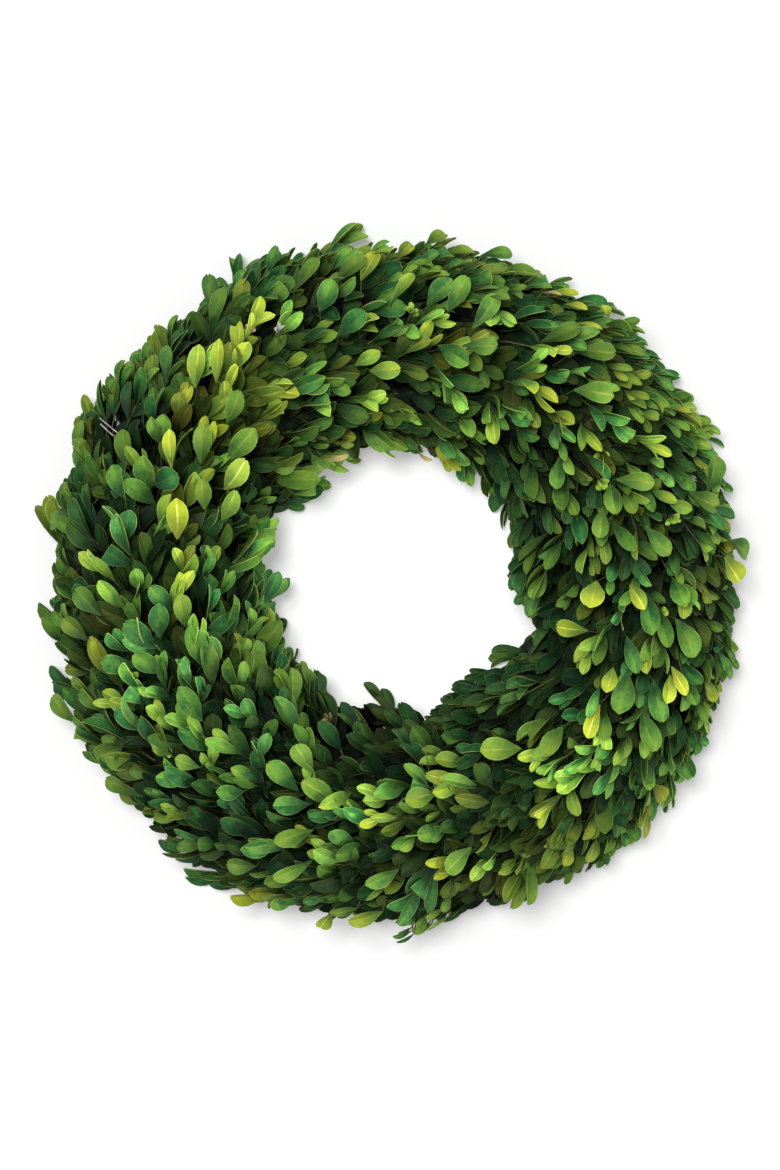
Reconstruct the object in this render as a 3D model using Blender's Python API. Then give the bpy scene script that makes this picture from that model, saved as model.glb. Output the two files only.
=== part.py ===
"""A round wreath of boxwood sprigs, lying on its flat back with its face up.

A straw ring carries the wreath. Bunches of sprigs lie along it in three rows, one on the side of
the hole, one on the face and one on the outside. Their stems are bound to the ring by one wire
that is wound round it, and their leaves all lean the same way round the ring, so that each bunch
covers the stems of the next. The origin is on the plane of the back, in the middle of the wreath.
"""

import math
import random

import bmesh
import bpy
from mathutils import Euler, Matrix, Vector
from mathutils.bvhtree import BVHTree

# Driving dimensions, in metres.
OUTER_RADIUS = 0.203
HOLE_RADIUS = 0.074
STRAW_RADIUS = 0.015
WIRE_RADIUS = 0.0005
LEAF_LENGTH = 0.0310
LEAF_WIDTH = 0.0170
LEAF_THICKNESS = 0.0008

# The ring's centre line runs midway between the hole and the outside. It is eight-sided, lies on
# one of its flats, bulges between the turns of the wire and has a waist at each of them.
RING_RADIUS = (OUTER_RADIUS + HOLE_RADIUS) / 2
STRAW_SIDES = 8
STRAW_STEPS = 3
STRAW_FLAT = STRAW_RADIUS * math.cos(math.pi / STRAW_SIDES)
CENTRE_HEIGHT = STRAW_FLAT
WAIST_RADIUS = 0.0130
WAIST_LIFT = 0.0024

# Bunches: stations round the ring, and three rows round the section, in degrees from straight up.
# The side rows lie over a corner of the straw's section and the front row on a flat.
STATIONS = 17
STATION_TURN = math.tau / STATIONS
ROW_MIDDLES = {"inner": -67.5, "front": 0.0, "outer": 67.5}
STEM_SEATS = {"inner": STRAW_RADIUS, "front": STRAW_FLAT, "outer": STRAW_RADIUS}
SEAT_GAP = 0.0003

# The bound stems of a bunch: they start just past the wire and run back under it.
STEM_LEAD = 0.012
STEM_TAIL = 0.024
STEM_BEND = 0.003
STEM_HALF_WIDTH = 0.0026
STEM_HALF_THICKNESS = 0.0013

# The heart of a bunch: a block between two distances from the centre line, with a ridge on it.
HEART_HALF_WIDTH = 31.0
HEART_START = 0.0276
HEART_EDGE = 0.0390
HEART_RIDGE = 0.0436
HEART_GAP = 0.0012
HEART_LEAN = math.radians(38.0)
ROW_REACH = {"inner": 0.0080, "front": 0.0, "outer": 0.0035}

# The sprigs on a heart: how many at odd and even stations, and how each one is turned, in degrees.
FANS_IN_ROW = {"inner": (2, 2), "front": (3, 4), "outer": (4, 4)}
FAN_SIDE = 0.24
FAN_LEAN = (26.0, 41.0)
FAN_ROLL = {"inner": 18.0, "front": 10.0, "outer": 18.0}
FAN_YAW = 16.0
SIDE_LEAF_SPREAD = (54.0, 64.0)
SIDE_LEAF_LIFT = (11.0, 31.0)
TIP_LEAF_LIFT = (-6.0, 7.0)
SIDE_LEAF_SCALE = 0.90

# The twig that a sprig's three leaves stand on, down to its root in the heart.
TWIG_HALF_WIDTH = 0.0018
TWIG_LENGTH = 0.0045
TWIG_DEPTH = 0.0065
TWIG_DROP = 0.0045

# Room kept between leaves of different bunches, how far apart two things can be and still touch,
# how often a crossing sprig is drawn again, and how much further it may then be moved.
CLEARANCE = 0.0004
TOUCH_REACH = 0.09
TRIES = 900
FIRST_SHIFT, LAST_SHIFT = 0.05, 0.20
SEED = 19

# Faces of a fused body that lie this close to one plane are one face.
FLAT_ANGLE = math.radians(0.3)

GREENS = {
    "inner": (0.045, 0.135, 0.030, 1.0),
    "front": (0.105, 0.230, 0.040, 1.0),
    "outer": (0.070, 0.180, 0.035, 1.0),
}
STRAW_COLOUR = (0.42, 0.30, 0.13, 1.0)
WIRE_COLOUR = (0.55, 0.54, 0.50, 1.0)


def directions(turn, slope):
    """Unit vectors at a place on the ring: along it clockwise, out of it, and round its section."""
    along = Vector((math.cos(turn), -math.sin(turn), 0.0))
    outward = Vector((math.sin(turn), math.cos(turn), 0.0))
    up = Vector((0.0, 0.0, 1.0))
    out = math.cos(slope) * up + math.sin(slope) * outward
    around = math.cos(slope) * outward - math.sin(slope) * up
    return along, out, around


def place(turn, height, slope):
    """The point that lies height from the ring's centre line, turn round the ring from the top."""
    outward = Vector((math.sin(turn), math.cos(turn), 0.0))
    out = directions(turn, slope)[1]
    return RING_RADIUS * outward + Vector((0.0, 0.0, CENTRE_HEIGHT)) + height * out


def local_radius(height, slope):
    return RING_RADIUS + height * math.sin(slope)


def swept_turn(turn, height, slope):
    """Where a leaning line that starts at turn has got to round the ring, at this height."""
    run = (height - HEART_START) / math.tan(HEART_LEAN)
    return turn + run / local_radius((height + HEART_START) / 2, slope)


def stem_top(row):
    """How far the outer side of a row's bound stems is from the ring's centre line."""
    return STEM_SEATS[row] + SEAT_GAP + 2 * STEM_HALF_THICKNESS


def stem_bow(row):
    """How much further out straight stems are in their middle, on the side of the hole."""
    slope = math.radians(ROW_MIDDLES[row])
    length = STEM_TAIL - STEM_BEND
    return max(0.0, -math.sin(slope)) * length ** 2 / (8 * local_radius(stem_top(row), slope))


def wire_bends():
    """The wire's bends on the way over the front: slopes in degrees and heights.

    It leaves the straw's waist on the side of the hole, goes over both corners of each row's
    stems, and comes back to the waist on the outside.
    """
    lift = WIRE_RADIUS + SEAT_GAP
    waist = (180.0 - 1.5 * 360.0 / STRAW_SIDES, WAIST_RADIUS + 2 * lift)
    bends = [(-waist[0], waist[1])]
    for row, middle in ROW_MIDDLES.items():
        top = stem_top(row) + stem_bow(row)
        half = math.degrees(math.atan2(STEM_HALF_WIDTH, top))
        height = math.hypot(STEM_HALF_WIDTH, top) + lift
        bends += [(middle - half, height), (middle + half, height)]
    return bends + [waist]


def wire_turn(station, degrees):
    """Where the wire has got to round the ring when it crosses the front at this slope."""
    bends = wire_bends()
    first, last = bends[0][0], bends[-1][0]
    return (station + (degrees - first) / (last - first)) * STATION_TURN


def material(name, colour, roughness, metallic=0.0):
    made = bpy.data.materials.new(name)
    made.use_nodes = True
    shader = made.node_tree.nodes["Principled BSDF"]
    shader.inputs["Base Color"].default_value = colour
    shader.inputs["Roughness"].default_value = roughness
    shader.inputs["Metallic"].default_value = metallic
    return made


def object_from(name, bm, finish):
    """An object made from a bmesh whose faces point outwards."""
    bmesh.ops.recalc_face_normals(bm, faces=bm.faces)
    mesh = bpy.data.meshes.new(name)
    bm.to_mesh(mesh)
    bm.free()
    mesh.materials.append(finish)
    made = bpy.data.objects.new(name, mesh)
    bpy.context.scene.collection.objects.link(made)
    return made


def bridged(bm, rings):
    """Joins rings of vertices, each a closed loop, into one closed tube with flat ends."""
    loops = []
    for ring in rings:
        vertices = [bm.verts.new(point) for point in ring]
        loops.append([bm.edges.new(pair) for pair in zip(vertices, vertices[1:] + vertices[:1])])
    for first, second in zip(loops, loops[1:]):
        bmesh.ops.bridge_loops(bm, edges=first + second)
    bmesh.ops.holes_fill(bm, edges=[e for e in bm.edges if e.is_boundary], sides=0)
    bmesh.ops.triangulate(bm, faces=bm.faces)


def straw_ring(finish):
    """Straw bundled into a ring, with a waist at each turn of the wire and flat backs between."""
    steps = STRAW_STEPS * STATIONS
    bm = bmesh.new()
    bmesh.ops.create_circle(bm, segments=STRAW_SIDES, radius=STRAW_RADIUS)
    half_side = math.pi / STRAW_SIDES
    bmesh.ops.rotate(bm, verts=bm.verts, matrix=Matrix.Rotation(half_side, 3, "Z"))
    bmesh.ops.rotate(bm, verts=bm.verts, matrix=Matrix.Rotation(math.pi / 2, 3, "Y"))
    bmesh.ops.translate(bm, verts=bm.verts, vec=(0.0, RING_RADIUS, CENTRE_HEIGHT))
    bmesh.ops.spin(bm, geom=bm.verts[:] + bm.edges[:], cent=(0, 0, 0), axis=(0, 0, 1),
                   angle=-math.tau, steps=steps, use_merge=True)
    for vertex in bm.verts:
        turn = math.atan2(vertex.co.x, vertex.co.y)
        if round(turn * steps / math.tau) % STRAW_STEPS == 0:
            middle = place(turn, 0.0, 0.0)
            vertex.co = middle + (vertex.co - middle) * (WAIST_RADIUS / STRAW_RADIUS)
            vertex.co.z = max(vertex.co.z, WAIST_LIFT)
        else:
            vertex.co.z = max(vertex.co.z, 0.0)
    bmesh.ops.triangulate(bm, faces=bm.faces)
    return object_from("straw_ring", bm, finish)


def wire_points():
    """One closed line, wound once round the ring for each station.

    It moves on to the next station while it crosses the front, over the stems, and goes straight
    across the back, in a waist of the straw.
    """
    back_reach = WAIST_RADIUS * math.sin(math.pi / STRAW_SIDES) + WIRE_RADIUS
    back_level = WAIST_LIFT - WIRE_RADIUS - SEAT_GAP
    points = []
    for station in range(STATIONS):
        for degrees, height in wire_bends():
            points.append(place(wire_turn(station, degrees), height, math.radians(degrees)))
        next_turn = (station + 1) * STATION_TURN
        outward = Vector((math.sin(next_turn), math.cos(next_turn), 0.0))
        for reach in (back_reach, -back_reach):
            points.append((RING_RADIUS + reach) * outward + Vector((0.0, 0.0, back_level)))
    return points


def binding_wire(finish):
    points = wire_points()
    line = bpy.data.curves.new("binding_wire", "CURVE")
    line.dimensions = "3D"
    line.bevel_depth = WIRE_RADIUS
    line.bevel_resolution = 0
    spline = line.splines.new("POLY")
    spline.points.add(len(points) - 1)
    for spline_point, point in zip(spline.points, points):
        spline_point.co = (*point, 1.0)
    spline.use_cyclic_u = True
    line.materials.append(finish)
    made = bpy.data.objects.new("binding_wire", line)
    bpy.context.scene.collection.objects.link(made)
    return made


def row_start(row, station):
    """Where a bunch begins round the ring: just past the turn of wire that holds its stems."""
    return wire_turn(station, ROW_MIDDLES[row]) + STEM_LEAD / RING_RADIUS


def bunch_heart(row, station, finish):
    """The packed twigs and leaves in a bunch: a leaning block that its sprigs stand out of."""
    start = row_start(row, station)
    first, middle, last = (math.radians(ROW_MIDDLES[row] + side * HEART_HALF_WIDTH)
                           for side in (-1, 0, 1))
    outline = [(HEART_START, first), (HEART_START, last)]
    reach = ROW_REACH[row]
    outline += [(HEART_EDGE + reach, last), (HEART_RIDGE + reach, middle)]
    outline.append((HEART_EDGE + reach, first))
    rings = []
    for share in (0.0, 1.0):
        ring = []
        for height, slope in outline:
            gap_turn = HEART_GAP / local_radius(height, slope)
            begin = swept_turn(start, height, slope) + gap_turn / 2
            ring.append(place(begin + share * (STATION_TURN - gap_turn), height, slope))
        rings.append(ring)
    bm = bmesh.new()
    bridged(bm, rings)
    return object_from(f"bunch_{row}_{station + 1:02d}", bm, finish)


def bound_stems(row, station, finish):
    """The stems of a bunch, lying back along the straw under the wire."""
    slope = math.radians(ROW_MIDDLES[row])
    start = row_start(row, station)
    height = stem_top(row) - STEM_HALF_THICKNESS
    rise = HEART_START + STEM_HALF_THICKNESS * 3 - height
    route = [(-STEM_TAIL, height), (-STEM_BEND, height), (rise - STEM_BEND, height + rise)]
    rings = []
    for run, level in route:
        turn = start + run / local_radius(height, slope)
        _, out, around = directions(turn, slope)
        centre = place(turn, level, slope)
        across, through = STEM_HALF_WIDTH * around, STEM_HALF_THICKNESS * out
        rings.append([centre - across - through, centre + across - through,
                      centre + across + through, centre - across + through])
    bm = bmesh.new()
    bridged(bm, rings)
    return object_from("stems", bm, finish)


def drawn_angle(draw, limits):
    return math.radians(draw.uniform(*limits))


def leaf_outline(heading, lift, length, width):
    """Four points of one leaf, from its left side round its blunt tip to its right side."""
    shares = [(0.45, -0.5), (0.95, -0.30), (0.97, 0.26), (0.47, 0.5)]
    frame = Euler((lift, 0.0, heading)).to_matrix()
    return [frame @ Vector((across * width, along * length, 0.0)) for along, across in shares]


def sprig_fan(draw, extra):
    """The tip of one sprig, as a closed blade: three leaves on one twig, cut apart down to it.

    extra makes it larger on every side, for the test of what it would touch.
    """
    length = LEAF_LENGTH * draw.uniform(0.90, 1.06) + extra
    width = LEAF_WIDTH * draw.uniform(0.92, 1.06) + 2 * extra
    twig_half = TWIG_HALF_WIDTH + extra
    twig_top = Vector((0.0, TWIG_LENGTH, 0.0))
    side_size = (SIDE_LEAF_SCALE * length, SIDE_LEAF_SCALE * width)
    left, right = (
        leaf_outline(side * drawn_angle(draw, SIDE_LEAF_SPREAD),
                     drawn_angle(draw, SIDE_LEAF_LIFT), *side_size)
        for side in (1, -1)
    )
    tip = [point + twig_top
           for point in leaf_outline(0.0, drawn_angle(draw, TIP_LEAF_LIFT), length, width)]
    bm = bmesh.new()
    root = bm.verts.new((0.0, -TWIG_DEPTH, -TWIG_DROP))
    shoulders = [bm.verts.new((side * twig_half, 0.0, 0.0)) for side in (-1, 1)]
    notches = [bm.verts.new((side * twig_half, TWIG_LENGTH, 0.0)) for side in (-1, 1)]
    leaves = [[bm.verts.new(point) for point in leaf] for leaf in (left, tip, right)]
    bm.faces.new([shoulders[0], *leaves[0], notches[0]])
    bm.faces.new([notches[0], *leaves[1], notches[1]])
    bm.faces.new([notches[1], *leaves[2], shoulders[1]])
    bm.faces.new([shoulders[0], notches[0], notches[1], shoulders[1]])
    bm.faces.new([shoulders[0], shoulders[1], root])
    bmesh.ops.triangulate(bm, faces=bm.faces)
    bmesh.ops.recalc_face_normals(bm, faces=bm.faces)
    thickness = LEAF_THICKNESS + 2 * extra
    skin = bmesh.ops.extrude_face_region(bm, geom=bm.faces[:])
    raised = [item for item in skin["geom"] if isinstance(item, bmesh.types.BMVert)]
    bmesh.ops.translate(bm, verts=raised, vec=(0.0, 0.0, thickness))
    bmesh.ops.translate(bm, verts=bm.verts, vec=(0.0, 0.0, -thickness / 2))
    return bm


def fan_places(row, station):
    """Where the fans of a bunch stand on its heart: shares of its length and of its width."""
    count = FANS_IN_ROW[row][station % 2]
    near_side = FAN_SIDE if station % 2 else 1.0 - FAN_SIDE
    sides = [near_side if index % 2 == 0 else 1.0 - near_side for index in range(count)]
    return [((index + 0.55) / count, side) for index, side in enumerate(sides)]


def fan_frame(row, station, share, side, heart, draw):
    """The place and turn of a fan on the outside of a heart, leaning round the ring."""
    slope = math.radians(ROW_MIDDLES[row] + (2 * side - 1) * HEART_HALF_WIDTH)
    start = row_start(row, station)
    turn = swept_turn(start, HEART_EDGE + ROW_REACH[row], slope) + share * STATION_TURN
    along, out, _ = directions(turn, slope)
    foot = heart.ray_cast(place(turn, 2 * HEART_RIDGE, slope), -out)[0]
    if foot is None:
        return None
    lean = drawn_angle(draw, FAN_LEAN)
    forward = math.cos(lean) * along + math.sin(lean) * out
    face = math.cos(lean) * out - math.sin(lean) * along
    upright = Matrix((forward.cross(face), forward, face)).transposed()
    roll, yaw = FAN_ROLL[row], FAN_YAW
    wobble = Euler((0.0, drawn_angle(draw, (-roll, roll)), drawn_angle(draw, (-yaw, yaw))))
    frame = (upright @ wobble.to_matrix()).to_4x4()
    frame.translation = foot
    return frame


def crosses(tree, centre, placed):
    """Whether a tree of faces crosses one of those placed near it."""
    return any((centre - other).length < TOUCH_REACH and tree.overlap(other_tree)
               for other, other_tree in placed)


def drawn_fan(bunch, share, side, heart, others, own, draw):
    """A fan that keeps clear of other bunches and crosses no fan of its own, or None."""
    for attempt in range(TRIES):
        shift = FIRST_SHIFT + (LAST_SHIFT - FIRST_SHIFT) * attempt / TRIES
        spot = share + draw.uniform(-shift, shift), side + draw.uniform(-shift, shift)
        frame = fan_frame(*bunch, *spot, heart, draw)
        if frame is None:
            continue
        state = draw.getstate()
        fat = sprig_fan(draw, CLEARANCE)
        draw.setstate(state)
        fan = sprig_fan(draw, 0.0)
        for bm in (fan, fat):
            bmesh.ops.transform(bm, matrix=frame, verts=bm.verts)
        fan_tree, fat_tree = BVHTree.FromBMesh(fan), BVHTree.FromBMesh(fat)
        fat.free()
        too_low = min(vertex.co.z for vertex in fan.verts) < LEAF_THICKNESS
        foot = frame.translation
        if not (too_low or crosses(fat_tree, foot, others) or crosses(fan_tree, foot, own)):
            return fan, foot, fan_tree
        fan.free()
    return None


def joined(base, pieces):
    """base and the pieces as one body, by one union on a collection."""
    group = bpy.data.collections.new("joining")
    bpy.context.scene.collection.children.link(group)
    for piece in pieces:
        bpy.context.scene.collection.objects.unlink(piece)
        group.objects.link(piece)
    union = base.modifiers.new("Union", "BOOLEAN")
    union.operation = "UNION"
    union.operand_type = "COLLECTION"
    union.collection = group
    union.solver = "MANIFOLD"
    graph = bpy.context.evaluated_depsgraph_get()
    mesh = bpy.data.meshes.new_from_object(base.evaluated_get(graph))
    base.modifiers.remove(union)
    old = base.data
    base.data = mesh
    bpy.data.meshes.remove(old)
    for piece in pieces:
        bpy.data.objects.remove(piece)
    bpy.data.collections.remove(group)
    bm = bmesh.new()
    bm.from_mesh(mesh)
    bmesh.ops.dissolve_limit(bm, angle_limit=FLAT_ANGLE, verts=bm.verts, edges=bm.edges)
    bmesh.ops.triangulate(bm, faces=bm.faces)
    bm.to_mesh(mesh)
    bm.free()


def foliage(finishes):
    """Every bunch, as one body each: its bound stems, its heart and its sprigs."""
    draw = random.Random(SEED)
    bunches = [(row, station) for station in range(STATIONS) for row in ROW_MIDDLES]
    hearts, placed = {}, {}
    for row, station in bunches:
        heart = bunch_heart(row, station, finishes[row])
        bm = bmesh.new()
        bm.from_mesh(heart.data)
        middle = sum((vertex.co for vertex in bm.verts), Vector()) / len(bm.verts)
        hearts[row, station] = heart
        placed[row, station] = [(middle, BVHTree.FromBMesh(bm))]
        bm.free()
    missed = 0
    for bunch in bunches:
        finish = finishes[bunch[0]]
        pieces, own = [bound_stems(*bunch, finish)], []
        heart_tree = placed[bunch][0][1]
        others = [item for other, items in placed.items() if other != bunch for item in items]
        for share, side in fan_places(*bunch):
            found = drawn_fan(bunch, share, side, heart_tree, others, own, draw)
            if found is None:
                missed += 1
                continue
            fan, foot, tree = found
            own.append((foot, tree))
            pieces.append(object_from("fan", fan, finish))
        placed[bunch] += own
        joined(hearts[bunch], pieces)
    print("fans left out:", missed)


def centre_on_outline():
    """Moves the whole wreath so that the origin is in the middle of its outline."""
    bpy.context.view_layer.update()
    pieces = [made for made in bpy.context.scene.objects if made.type in ("MESH", "CURVE")]
    corners = [piece.matrix_world @ Vector(corner) for piece in pieces
               for corner in piece.bound_box]
    middle_x = (min(c.x for c in corners) + max(c.x for c in corners)) / 2
    middle_y = (min(c.y for c in corners) + max(c.y for c in corners)) / 2
    wreath = bpy.data.objects.new("wreath", None)
    bpy.context.scene.collection.objects.link(wreath)
    wreath.location = (-middle_x, -middle_y, 0.0)
    for piece in pieces:
        piece.parent = wreath
    print(f"centred by {-middle_x * 1000:.2f}, {-middle_y * 1000:.2f} mm")


def main():
    for old in list(bpy.data.objects):
        bpy.data.objects.remove(old, do_unlink=True)
    straw_ring(material("straw", STRAW_COLOUR, 0.85))
    binding_wire(material("wire", WIRE_COLOUR, 0.35, metallic=1.0))
    foliage({row: material(f"leaves_{row}", colour, 0.45) for row, colour in GREENS.items()})
    centre_on_outline()


main()
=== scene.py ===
# %% [markdown]
# # A boxwood wreath
# A wreath like this is a ring of straw with bunches of boxwood sprigs bound round it by one wire.
# Each bunch covers the stems of the one before it, so that almost only leaves show from the front.
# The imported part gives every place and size. This script puts finer straw, wire, stems and leaves
# there, then adds the materials, the light and the camera.

import math
import random

import bmesh
import bpy
from mathutils import Matrix, Vector, noise


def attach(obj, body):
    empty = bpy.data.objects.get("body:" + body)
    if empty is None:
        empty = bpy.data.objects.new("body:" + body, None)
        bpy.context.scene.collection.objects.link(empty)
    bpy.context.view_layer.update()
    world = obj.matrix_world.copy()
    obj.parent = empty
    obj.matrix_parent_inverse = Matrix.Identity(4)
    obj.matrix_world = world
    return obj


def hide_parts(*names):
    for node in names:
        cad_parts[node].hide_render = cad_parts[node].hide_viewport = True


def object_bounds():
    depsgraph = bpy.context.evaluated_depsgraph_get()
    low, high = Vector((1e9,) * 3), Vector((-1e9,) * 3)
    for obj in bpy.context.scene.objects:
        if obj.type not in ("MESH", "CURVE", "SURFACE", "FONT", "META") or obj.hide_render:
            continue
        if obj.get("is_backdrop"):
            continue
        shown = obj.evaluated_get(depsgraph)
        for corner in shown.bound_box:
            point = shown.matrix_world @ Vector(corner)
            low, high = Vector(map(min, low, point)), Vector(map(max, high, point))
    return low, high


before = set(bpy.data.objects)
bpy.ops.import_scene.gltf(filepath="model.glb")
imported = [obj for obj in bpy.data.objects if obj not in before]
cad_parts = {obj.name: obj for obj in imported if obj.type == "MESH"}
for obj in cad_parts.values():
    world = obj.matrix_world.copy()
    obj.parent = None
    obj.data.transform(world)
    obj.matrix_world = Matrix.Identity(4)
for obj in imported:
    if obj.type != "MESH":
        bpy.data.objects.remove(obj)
cad_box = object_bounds()
print("CAD nodes:", len(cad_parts))

# %% [markdown]
# ## Places on a ring
# Every sprig is placed by three numbers: how far round the ring it is, which way round the ring's
# section it looks, and how far from the centre line it stands. Working with them is simpler than
# with x, y and z, because the whole wreath follows the ring. The sizes are those of the part.

# %% Sizes of the wreath
RING_RADIUS = 0.1385
STRAW_RADIUS = 0.015
STRAW_FLAT = STRAW_RADIUS * math.cos(math.pi / 8)
WAIST_RADIUS = 0.0130
WAIST_LIFT = 0.0024
WIRE_RADIUS = 0.0005
STATIONS = 17
STATION_TURN = math.tau / STATIONS
ROW_MIDDLES = {"inner": -67.5, "front": 0.0, "outer": 67.5}

straw_points = [vertex.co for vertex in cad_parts["straw_ring"].data.vertices]
RING_MIDDLE = sum(straw_points, Vector()) / len(straw_points)
RING_MIDDLE.z = STRAW_FLAT
print("height of the ring's middle, in m:", round(RING_MIDDLE.z, 4))


# %% Directions and places
UP = Vector((0.0, 0.0, 1.0))


def outwards(turn):
    """The level direction out from the wreath's middle, at a turn clockwise from the top."""
    return Vector((math.sin(turn), math.cos(turn), 0.0))


def directions(turn, slope):
    """Unit vectors at a place: along the ring clockwise, out of it, and round its section."""
    along = Vector((math.cos(turn), -math.sin(turn), 0.0))
    out = math.cos(slope) * UP + math.sin(slope) * outwards(turn)
    around = math.cos(slope) * outwards(turn) - math.sin(slope) * UP
    return along, out, around


def place(turn, height, slope):
    """The point at this height from the ring's centre line, turn round the ring from the top."""
    return RING_MIDDLE + RING_RADIUS * outwards(turn) + height * directions(turn, slope)[1]


def local_radius(height, slope):
    return RING_RADIUS + height * math.sin(slope)


def in_mm(point):
    return [round(coordinate * 1000, 1) for coordinate in point]


print("top of the straw, in mm:", in_mm(place(0.0, STRAW_FLAT, 0.0)))


# %% [markdown]
# ## Where the wire and the bunches are
# The wire crosses the front of the ring once for each bunch of a row and holds the stems down.
# A bunch starts just past that crossing and leans along the ring, so its tips reach over the next
# one. The same rules place the solids of the part, so each finer bunch fills its solid's place.

# %% Rules of the binding
STEM_SEATS = {"inner": STRAW_RADIUS, "front": STRAW_FLAT, "outer": STRAW_RADIUS}
SEAT_GAP = 0.0003
STEM_LEAD = 0.012
STEM_TAIL = 0.024
STEM_BEND = 0.003
STEM_HALF_WIDTH = 0.0026
STEM_HALF_THICKNESS = 0.0013
WAIST_SLOPE = 112.5
HEART_START = 0.0276
LEAN = math.radians(38.0)


def stem_top(row):
    """How far the outer side of a row's bound stems is from the ring's centre line."""
    return STEM_SEATS[row] + SEAT_GAP + 2 * STEM_HALF_THICKNESS


def stem_bow(row):
    """How much further out straight stems are in their middle, on the side of the hole."""
    slope = math.radians(ROW_MIDDLES[row])
    length = STEM_TAIL - STEM_BEND
    return max(0.0, -math.sin(slope)) * length ** 2 / (8 * local_radius(stem_top(row), slope))


def wire_bends():
    """The wire's bends on the way over the front: slopes in degrees and heights."""
    lift = WIRE_RADIUS + SEAT_GAP
    waist = (WAIST_SLOPE, WAIST_RADIUS + 2 * lift)
    bends = [(-waist[0], waist[1])]
    for row, middle in ROW_MIDDLES.items():
        top = stem_top(row) + stem_bow(row)
        half = math.degrees(math.atan2(STEM_HALF_WIDTH, top))
        height = math.hypot(STEM_HALF_WIDTH, top) + lift
        bends += [(middle - half, height), (middle + half, height)]
    return bends + [waist]


def wire_turn(station, degrees):
    """How far round the ring the wire is when it crosses the front at this slope."""
    bends = wire_bends()
    first, last = bends[0][0], bends[-1][0]
    return (station + (degrees - first) / (last - first)) * STATION_TURN


def row_start(row, station):
    """Where a bunch begins: just past the turn of wire that holds its stems."""
    return wire_turn(station, ROW_MIDDLES[row]) + STEM_LEAD / RING_RADIUS


def swept_turn(turn, height, slope):
    """Where a line that starts at turn and leans along the ring has got to at this height."""
    run = (height - HEART_START) / math.tan(LEAN)
    return turn + run / local_radius((height + HEART_START) / 2, slope)


print("bends of the wire over the front:", len(wire_bends()))


# %% [markdown]
# ## Shader maths
# The materials below mix many small masks, such as a leaf's midrib or its pale edge. A small class
# that stands for a socket lets them be written as sums and products, and one method adds any node.

# %% Sockets as numbers
class Value:
    """A shader socket that can be used in a sum, a product or a difference."""

    def __init__(self, recipe, socket):
        self.recipe = recipe
        self.socket = socket

    def maths(self, operation, first, second):
        return self.recipe.node("ShaderNodeMath", {"operation": operation}, {0: first, 1: second})

    def __add__(self, other):
        return self.maths("ADD", self, other)

    def __radd__(self, other):
        return self.maths("ADD", other, self)

    def __sub__(self, other):
        return self.maths("SUBTRACT", self, other)

    def __rsub__(self, other):
        return self.maths("SUBTRACT", other, self)

    def __mul__(self, other):
        return self.maths("MULTIPLY", self, other)

    def __rmul__(self, other):
        return self.maths("MULTIPLY", other, self)

    def __abs__(self):
        return self.maths("ABSOLUTE", self, 0.0)


class Recipe:
    """A material and its nodes."""

    def __init__(self, name):
        self.material = bpy.data.materials.new(name)
        self.material.use_nodes = True
        self.tree = self.material.node_tree
        self.shader = self.tree.nodes["Principled BSDF"]

    def node(self, kind, settings=None, inputs=None, output=0):
        """Adds a node, gives it its settings, then its inputs, and returns one of its outputs."""
        made = self.tree.nodes.new(kind)
        for name, value in (settings or {}).items():
            if name == "stops":
                self.set_stops(made.color_ramp, value)
            else:
                setattr(made, name, value)
        for name, value in (inputs or {}).items():
            self.connect(made.inputs[name], value)
        return Value(self, made.outputs[output])

    def set_stops(self, ramp, stops):
        while len(ramp.elements) < len(stops):
            ramp.elements.new(0.5)
        for element, (position, colour) in zip(ramp.elements, stops):
            element.position = position
            element.color = (*colour, 1.0)

    def connect(self, socket, value):
        if isinstance(value, Value):
            self.tree.links.new(value.socket, socket)
        else:
            socket.default_value = value

    def band(self, value, start, end):
        """0 at start and 1 at end, with a smooth change between them."""
        return self.node("ShaderNodeMapRange", {"interpolation_type": "SMOOTHSTEP"},
                         {"Value": value, "From Min": start, "From Max": end})

    def mix(self, share, first, second, blend="MIX"):
        """One colour laid over another, by a share from 0 to 1."""
        return self.node("ShaderNodeMix", {"data_type": "RGBA", "blend_type": blend},
                         {0: share, 6: first, 7: second}, output=2)

    def ramp(self, stops, value):
        """A colour that changes with a value, through stops of a position and a colour."""
        return self.node("ShaderNodeValToRGB", {"stops": stops}, {0: value})

    def noise(self, scale, detail):
        """Noise on the object's own coordinates."""
        where = self.node("ShaderNodeTexCoord", output=3)
        return self.node("ShaderNodeTexNoise", None,
                         {"Vector": where, "Scale": scale, "Detail": detail})

    def bump(self, height, distance, strength):
        normal = self.node("ShaderNodeBump", None,
                           {"Height": height, "Distance": distance, "Strength": strength})
        self.connect(self.shader.inputs["Normal"], normal)

    def set(self, **inputs):
        """Sets the shader's inputs, whose names are given with _ for each space."""
        for name, value in inputs.items():
            self.connect(self.shader.inputs[name.replace("_", " ")], value)


# %% [markdown]
# ## One leaf
# A boxwood leaf is a thick, waxy oval on a narrow wedge, widest past its middle, with a blunt tip.
# It is folded a little along its midrib and bends down at the tip. Thousands of them are needed, so
# a leaf is a small grid that is pulled into this outline and then given its thickness. A few
# forms, each drawn with other bends, are enough for no two neighbours to look the same.

# %% The leaf's outline
LEAF_LENGTH = 0.0240
LEAF_WIDTH = 0.0090
LEAF_THICKNESS = 0.00035
PETIOLE_WIDTH = 0.0008
WIDEST_AT = (0.50, 0.70)
WEDGE_CURVE = 1.25
TIP_NARROWS, TIP_BLUNTNESS = 0.96, 2.4
TIP_START, ROUND_TIP = 0.5, 0.03
TIP_CROWDING = 1.5
NOTCHES = [0.0, 0.015, 0.035, 0.06]
FOLDS, FOLD_CURVE = (0.05, 0.75), 1.15
DROOPS, BELLY = (-0.06, 0.18), 0.25
SWEEPS = (-0.22, 0.22)
TWISTS = (-0.45, 0.45)


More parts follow.
